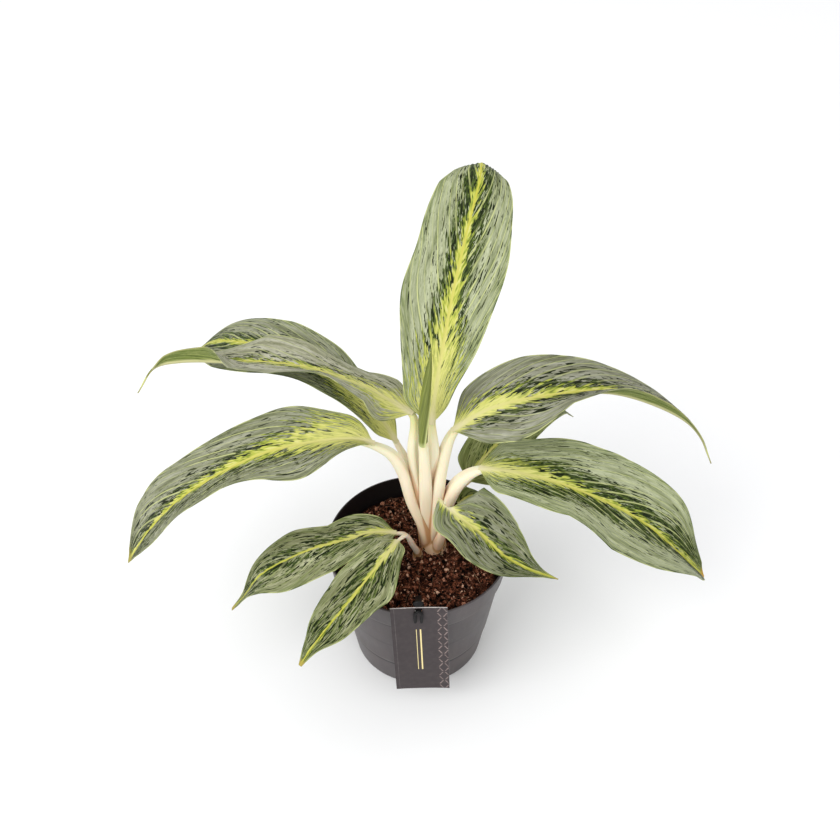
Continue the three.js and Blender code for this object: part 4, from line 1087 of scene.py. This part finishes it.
def lump_height(x, y):
    """The height of the soil above its level at a place, in mm."""
    near = noise.voronoi(Vector((x / 6.5, y / 6.5, 0.3)))[0]
    small = noise.voronoi(Vector((x / 2.4, y / 2.4, 4.7)))[0]
    broad = 1.2 * (math.sin(x / 7 + 1) * math.cos(y / 9) + 0.5 * math.sin(x / 3.1 - y / 4.3))
    clumps = 2.6 * max(0, 0.55 - near[0]) + 0.6 * min(1, near[1] - near[0])
    grains = 1.9 * (0.5 - small[0]) + 0.8 * noise.noise(Vector((x * 1.1, y * 1.1, 9.0)))
    # one big lump lies in front of the shoots
    chunk = 3.4 * max(0, 1 - ((x + 5.4) / 6.5) ** 2 - ((y + 25.3) / 5.5) ** 2) ** 0.5
    return 0.8 * broad + 1.2 * clumps + grains + chunk


def soil_top(x, y):
    """The level of the soil's surface, which sinks a little beside the pot's wall."""
    rim = max(0, math.hypot(x, y) - (SOIL_RADIUS - 5)) / 5
    return SOIL_LEVEL + lump_height(x, y) * (1 - 0.5 * rim) - 2.5 * rim ** 2


soil, flat = flat_grid(SOIL_CELLS, SOIL_CELLS)
disc_x = flat[:, 0] * np.sqrt(1 - flat[:, 1] ** 2 / 2) * SOIL_RADIUS
disc_y = flat[:, 1] * np.sqrt(1 - flat[:, 0] ** 2 / 2) * SOIL_RADIUS
levels = [soil_top(x, y) for x, y in zip(disc_x, disc_y)]
move_points(soil, np.column_stack([disc_x, disc_y, levels]))
edit_all(soil)
bpy.ops.mesh.select_mode(type="EDGE")
bpy.ops.mesh.select_all(action="DESELECT")
bpy.ops.mesh.select_non_manifold()
for drop, shrink in SOIL_SIDE:
    pull(-drop, shrink)
bpy.ops.mesh.edge_face_add()
turn_outward(soil)
shade_smooth(soil, 60)
print("soil from", round(min(levels), 1), "to", round(max(levels), 1), "mm")

# %% Soil material
# moist peat and coir give a dark, rough ground with light crumbs; painted shade darkens its hollows and
# its edge along the wall, and painted light brightens its lumps
peat, node = new_material("moist_peat_and_coir")
where = node("TexCoord", out=OBJECT)
lumps = node("TexNoise", {"Vector": where, "Scale": 330.0, "Detail": 6.0, "Roughness": 0.75})
flecks = node("TexVoronoi", {"Vector": where, "Scale": 700.0})
# the tones follow the same noise as the bump: painted shade, near-black, in its hollows and painted light
# on its lumps, over the peat's own browns; the lighter flecks sit on the raised cell middles as painted
# light too
colour = node("ValToRGB", [lumps], stops=[
    (0.38, "#050201"), (0.46, "#1e0d08"), (0.53, "#512b1c"), (0.6, "#955a42"), (0.7, "#cc957a")])
from_axis = node("VectorMath LENGTH", [node("VectorMath MULTIPLY", [where, (1.0, 1.0, 0.0)])])
colour = node(LAYER, [node(SPAN, [flecks, 0.1, 0.6, 0.35, 0.0]), colour, "#5d3423"])
# painted shadow: the ground turns near-black over the last few millimetres before the pot's wall
colour = node(LAYER, [node(SPAN, [from_axis, 51 * MM, 54.5 * MM, 0.0, 0.9]), colour, "#080403"])
node("OutputMaterial", [node("BsdfPrincipled", {
    "Base Color": colour, "Roughness": 0.85, "IOR": 1.4, "Specular IOR Level": 0.1,
    "Normal": node("Bump", {"Strength": 0.9, "Distance": 0.8 * MM,
                            "Height": node(MINUS, [lumps, flecks])})})])
keep_as(soil, "soil_body", peat)
stands_for(soil, "potting_soil", "potting_soil")

# %% Crumb models
ROUGHNESS = 0.28  # how far the points of a model are moved, as a share of its radius

crumb_models = []  # four coarse ones and a finer one for big crumbs
for number in range(5):
    deselect()
    bpy.ops.mesh.primitive_ico_sphere_add(subdivisions=2 if number > 3 else 1, radius=1)
    model = bpy.context.object
    edit_all(model)
    bpy.ops.transform.vertex_random(offset=ROUGHNESS, seed=number + 3)
    end_edit()
    faces = np.array([list(face.vertices) for face in model.data.polygons])
    crumb_models.append((points_of(model), faces))
    bpy.data.objects.remove(model)
print("crumb models with", [len(faces) for _, faces in crumb_models], "faces")


# %% Loose crumbs
CRUMBS = 2600
BIG_CRUMB = 1.6  # mm, a crumb with a larger radius is a copy of the finer model
EDGE_CLEAR = 4.0  # mm, how far crumbs and fibres keep off the edge of the soil
SHOOTS = [(10, 6, 8.5), (-0.5, -2.5, 3.8)]  # where they stand, and how far crumbs keep off, in mm
dice = random.Random(7)


def scattered(name, copies, material):
    """One piece from many copies. Each copy is its vertices in mm, its faces and its tone from 0 to 1."""
    places, faces, tones, start = [], [], [], 0
    for copy_places, copy_faces, tone in copies:
        places.append(copy_places)
        faces.append(copy_faces + start)
        tones.append(np.full(copy_faces.size, tone))
        start += len(copy_places)
    mesh = bpy.data.meshes.new(name)
    mesh.from_pydata(np.concatenate(places) * MM, [], np.concatenate(faces).tolist())
    tones = np.concatenate(tones)
    set_uv(mesh, "tone", tones, tones)
    piece = bpy.data.objects.new(name, mesh)
    bpy.context.scene.collection.objects.link(piece)
    return keep_as(piece, name, material)


def place_on_soil():
    """A random place on the soil, clear of the shoots."""
    while True:
        angle, out = dice.uniform(0, 2 * math.pi), (SOIL_RADIUS - EDGE_CLEAR) * math.sqrt(dice.random())
        x, y = out * math.cos(angle), out * math.sin(angle)
        if all(math.hypot(x - at_x, y - at_y) > clear for at_x, at_y, clear in SHOOTS):
            return x, y


def crumb(x, y, size, tone):
    """A crumb of one random model, turned at random and sunk into the soil a little."""
    places, faces = crumb_models[4 if size > BIG_CRUMB else dice.randrange(4)]
    turn = Euler([dice.uniform(0, 6.28) for _ in range(3)]).to_matrix()
    squeeze = Matrix.Diagonal((1, dice.uniform(0.55, 1), dice.uniform(0.45, 0.7)))
    turned = places @ np.array((turn @ squeeze).transposed()) * size
    return turned + (x, y, soil_top(x, y) + 0.25 * size), faces, tone


# dry peat crumbs give grains from near black to light tan, each in its own tone
copies = [crumb(*place_on_soil(), 0.4 + 1.3 * dice.random() ** 3, dice.random()) for _ in range(CRUMBS)]
speck_skin, node = new_material("peat_crumbs")
tone = node("SeparateXYZ", [node("UVMap", uv_map="tone")])
grain = node("TexNoise", {"Vector": node("TexCoord", out=OBJECT), "Scale": 1400.0, "Detail": 3.0})
colour = node("ValToRGB", [node(PLUS, [tone, node(MINUS, [grain, 0.5])])], stops=[
    (0.25, "#060201"), (0.5, "#2a120b"), (0.7, "#764331"), (0.86, "#b8826a"), (1.0, "#dcb69c")])
node("OutputMaterial", [node("BsdfPrincipled", {
    "Base Color": colour, "Roughness": 0.85, "IOR": 1.4, "Specular IOR Level": 0.1,
    "Normal": node("Bump", {"Strength": 0.6, "Distance": 0.2 * MM, "Height": grain})})])
stands_for(scattered("soil_crumbs", copies, speck_skin), "potting_soil")

# %% Coir fibres
FIBRES = 240
FIBRE_STEPS = 7  # places along each strand


def fibre(x, y, heading, length, thickness, tone, bend=0.6):
    """A coir fibre: a thin three-sided strand that follows the soil in a curve."""
    places = []
    spot, way = Vector((x, y)), heading
    for step in range(FIBRE_STEPS):
        level = soil_top(spot.x, spot.y) + 0.5 + 0.7 * math.sin(step / (FIBRE_STEPS - 1) * math.pi)
        thin = thickness * (0.35 if step in (0, FIBRE_STEPS - 1) else 1)
        side = Vector((-math.sin(way), math.cos(way)))
        for across, up in ((0, 1), (-0.87, -0.5), (0.87, -0.5)):
            places.append((spot.x + side.x * across * thin, spot.y + side.y * across * thin,
                           level + up * thin))
        spot = spot + Vector((math.cos(way), math.sin(way))) * length / (FIBRE_STEPS - 1)
        way += bend * dice.uniform(-0.6, 0.6) + bend * 0.25
    faces = [(a, b, b + 3, a + 3) for s in range(FIBRE_STEPS - 1) for a, b in
             ((3 * s, 3 * s + 1), (3 * s + 1, 3 * s + 2), (3 * s + 2, 3 * s))]
    return np.array(places), np.array(faces), tone


# coir gives thin, dull strands between brown and straw
strands = [fibre(*place_on_soil(), dice.uniform(0, 6.28), dice.uniform(2.5, 9), dice.uniform(0.09, 0.2),
                 dice.random()) for _ in range(FIBRES)]
strands = [strand for strand in strands if np.hypot(*strand[0][:, :2].T).max() < SOIL_RADIUS - 0.5]
strands.append(fibre(35.5, -15.4, -1.15, 11, 0.2, 1.0, 0.1))
strands.append(fibre(28.0, -19.0, -0.7, 7, 0.16, 0.95, 0.3))
fibre_skin, node = new_material("coir_fibre")
tone = node("SeparateXYZ", [node("UVMap", uv_map="tone")])
worn = node("TexNoise", {"Vector": node("TexCoord", out=OBJECT), "Scale": 900.0})
colour = node("ValToRGB", [tone], stops=[(0.0, "#4b2b1c"), (0.6, "#7c5037"), (1.0, "#cfae88")])
colour = node(LAYER, [worn, colour, "#5b3826"])
node("OutputMaterial", [node("BsdfPrincipled", {"Base Color": colour, "Roughness": 0.7})])
stands_for(scattered("coir_fibres", strands, fibre_skin), "potting_soil")

# %% [markdown]
# ## The card
# A thin laminated card hangs in front of the pot. It is a grid with a slot at its top, thickened
# with Solidify. The print is left plain: one band of short strokes beside the right edge and two thin
# rules. It is drawn from the card's own UV map, which is measured in millimetres.

# %% Card
CARD_SIZE = (35, 85)  # mm
CARD_THICKNESS = 0.6  # mm
CARD_MIDDLE = (1.6, 62.4)  # mm to the right and up
CARD_FRONT = -61.2  # mm
CARD_LEAN = math.radians(-2)
SLOT_HALF = (2.2, 1.1)  # mm, half its width and height
SLOT_LEVEL = 102.4  # mm

card, flat = flat_grid(70, 85)
card_x, card_z = flat[:, 0] * CARD_SIZE[0] / 2, flat[:, 1] * CARD_SIZE[1] / 2
turned_x = card_x * math.cos(CARD_LEAN) + card_z * math.sin(CARD_LEAN) + CARD_MIDDLE[0]
turned_z = card_z * math.cos(CARD_LEAN) - card_x * math.sin(CARD_LEAN) + CARD_MIDDLE[1]
# the middle of the card stands back a little, and the card waves along its length
bow = 0.5 * (1 - (card_x / CARD_SIZE[0] * 2) ** 2) + 0.25 * np.sin(card_z / 30)
move_points(card, np.column_stack([turned_x, CARD_FRONT + bow, turned_z]))
corners = corners_of(card.data)
set_uv(card.data, "UVMap", card_x[corners], card_z[corners])
edit_faces(card, lambda face: abs(face.center.x) < SLOT_HALF[0] * MM
           and abs(face.center.z - SLOT_LEVEL * MM) < SLOT_HALF[1] * MM)
bpy.ops.mesh.delete(type="FACE")
end_edit()
print("card with its slot:", len(card.data.polygons), "faces")

# %% Card print
# laminated card gives a flat dark brown-grey with a faint fleck and a low shine
card_print, node = new_material("laminated_card_front")
across, along = node("SeparateXYZ", [node("UVMap", uv_map="UVMap")], PAIR)
fleck = node("TexNoise", {"Vector": node("TexCoord", out=OBJECT), "Scale": 300.0, "Detail": 4.0})
glint = node(SPAN, [fleck, 0.35, 0.65, 0.45, 1.0])
colour = node("ValToRGB", [fleck], stops=[(0.3, "#373031"), (0.5, "#3a3334"), (0.7, "#3f3838")])


def band(value, middle, half, soft=0.08):
    """One where a value lies within so many millimetres of a middle, with soft ends."""
    off = node("Math ABSOLUTE", [node(MINUS, [value, middle])])
    return node(SPAN, [off, half - soft, half + soft, 1.0, 0.0])


# short strokes in a zigzag, 9.5 mm for each pair, mirrored in the second row
aim = node(MINUS, [node("Math PINGPONG", [along, 4.75]), 2.375])
rows = []
for middle, lean in ((12.4, 0.6), (16.1, -0.6)):
    line = band(node(MINUS, [across, node(TIMES, [aim, lean])]), middle, 0.42)
    rows.append(node(TIMES, [line, band(aim, 0.0, 1.75)]))
strokes = node(TIMES, [node(HIGHEST, rows), glint])
rules = node(HIGHEST, [node(TIMES, [band(across, middle, half), band(along, 0.0, 21.0)])
                       for middle, half in ((0.4, 0.45), (-2.2, 0.2))])
fold = node(TIMES, [node(TIMES, [band(across, -15.2, 0.12), glint]), 0.35])
for mask, tint in ((strokes, "#8d7c78"), (rules, "#e9d79a"), (fold, "#9a9090")):
    colour = node(LAYER, [mask, colour, tint])
node("OutputMaterial", [node("BsdfPrincipled", {
    "Base Color": colour, "Roughness": 0.45, "IOR": 1.48, "Specular IOR Level": 0.25,
    "Normal": node("Bump", {"Strength": 0.2, "Distance": 0.1 * MM, "Height": fleck})})])

# grey board shows as a pale, fibrous line along the cut edge
board, node = new_material("card_board_edge")
pulp = node("TexNoise", {"Vector": node("TexCoord", out=OBJECT), "Scale": 600.0, "Detail": 4.0})
colour = node("ValToRGB", [pulp], stops=[(0.3, "#a39c9a"), (0.7, "#cfc9c6")])
node("OutputMaterial", [node("BsdfPrincipled", {"Base Color": colour, "Roughness": 0.8})])

keep_as(card, "hanging_card_sheet", card_print, board)
apply_modifier(card, "SOLIDIFY", thickness=CARD_THICKNESS * MM, offset=-1, material_offset=0,
               material_offset_rim=1)
stands_for(card, "card", "hanging_card")

# %% [markdown]
# ## The stake
# A small black stake stands in the soil and leans out over the rim. A knob behind the card and a
# hook in front of it hold the card by its slot. It is moulded in one piece, so all its edges are
# rounded.


# %% Stake
# how far each step of the bar goes toward the back and up, in mm: minus is toward the front
BAR_STEPS = [(0, 24.5), (-0.4, 1.2), (-9.4, 9.2), (-9.5, 8.8), (-0.6, 1.2)]
HOOK_FRONT = -61.9  # mm
# right and up, in mm, over the arch of the hook
HOOK_ARCH = [(-1.9, 92.4), (-2.0, 97), (-1.8, 100.9), (-1.0, 102.4), (0, 102.8), (1.0, 102.4),
             (1.8, 100.9), (2.0, 97), (1.9, 92.4)]


def block(place, size):
    """A box, in mm."""
    deselect()
    bpy.ops.mesh.primitive_cube_add(size=1, location=Vector(place) * MM, scale=Vector(size) * MM)
    bpy.ops.object.transform_apply(location=True, scale=True)
    return bpy.context.object


bar = block((0, -37, 60.5), (4, 1.6, 1))
edit_faces(bar, lambda face: face.normal.z > 0.9)
for back, up in BAR_STEPS:
    bpy.ops.mesh.extrude_region_move(TRANSFORM_OT_translate={"value": (0, back * MM, up * MM)})
end_edit()
apply_modifier(bar, "BEVEL", width=0.3 * MM, segments=2)

deselect()
bpy.ops.mesh.primitive_uv_sphere_add(segments=32, ring_count=20, radius=1,
                                     location=Vector((0, -58.4, 105.8)) * MM,
                                     scale=Vector((3.4, 1.5, 3.0)) * MM)
bpy.ops.object.transform_apply(location=True, scale=True)
head = bpy.context.object
neck = block((0, -60.2, 102.4), (3.4, 3.0, 1.5))
apply_modifier(neck, "BEVEL", width=0.25 * MM, segments=2)
hook = tube("hook", [(x, HOOK_FRONT, z) for x, z in HOOK_ARCH], [0.9, 1.05, 1.05, 1.05, 1.05, 1.05, 0.9],
            ((0, -1, 0),), sides=16)
del hook["line"]
stake = joined([bar, head, neck, hook])
shade_smooth(stake, 45)

# moulded polystyrene gives a near-black with soft, broken shine
stake_plastic, node = new_material("moulded_polystyrene")
mould = node("TexNoise", {"Vector": node("TexCoord", out=OBJECT), "Scale": 500.0, "Detail": 3.0})
colour = node("ValToRGB", [mould], stops=[(0.3, "#070606"), (0.6, "#0d0b0c"), (0.75, "#1b1819")])
node("OutputMaterial", [node("BsdfPrincipled", {
    "Base Color": colour, "IOR": 1.59, "Specular IOR Level": 0.15,
    "Roughness": node(SPAN, [mould, 0.0, 1.0, 0.35, 0.55]),
    "Normal": node("Bump", {"Strength": 0.2, "Distance": 0.1 * MM, "Height": mould})})])
keep_as(stake, "card_stake_moulding", stake_plastic)
stands_for(stake, "black_plastic", "card_stake")
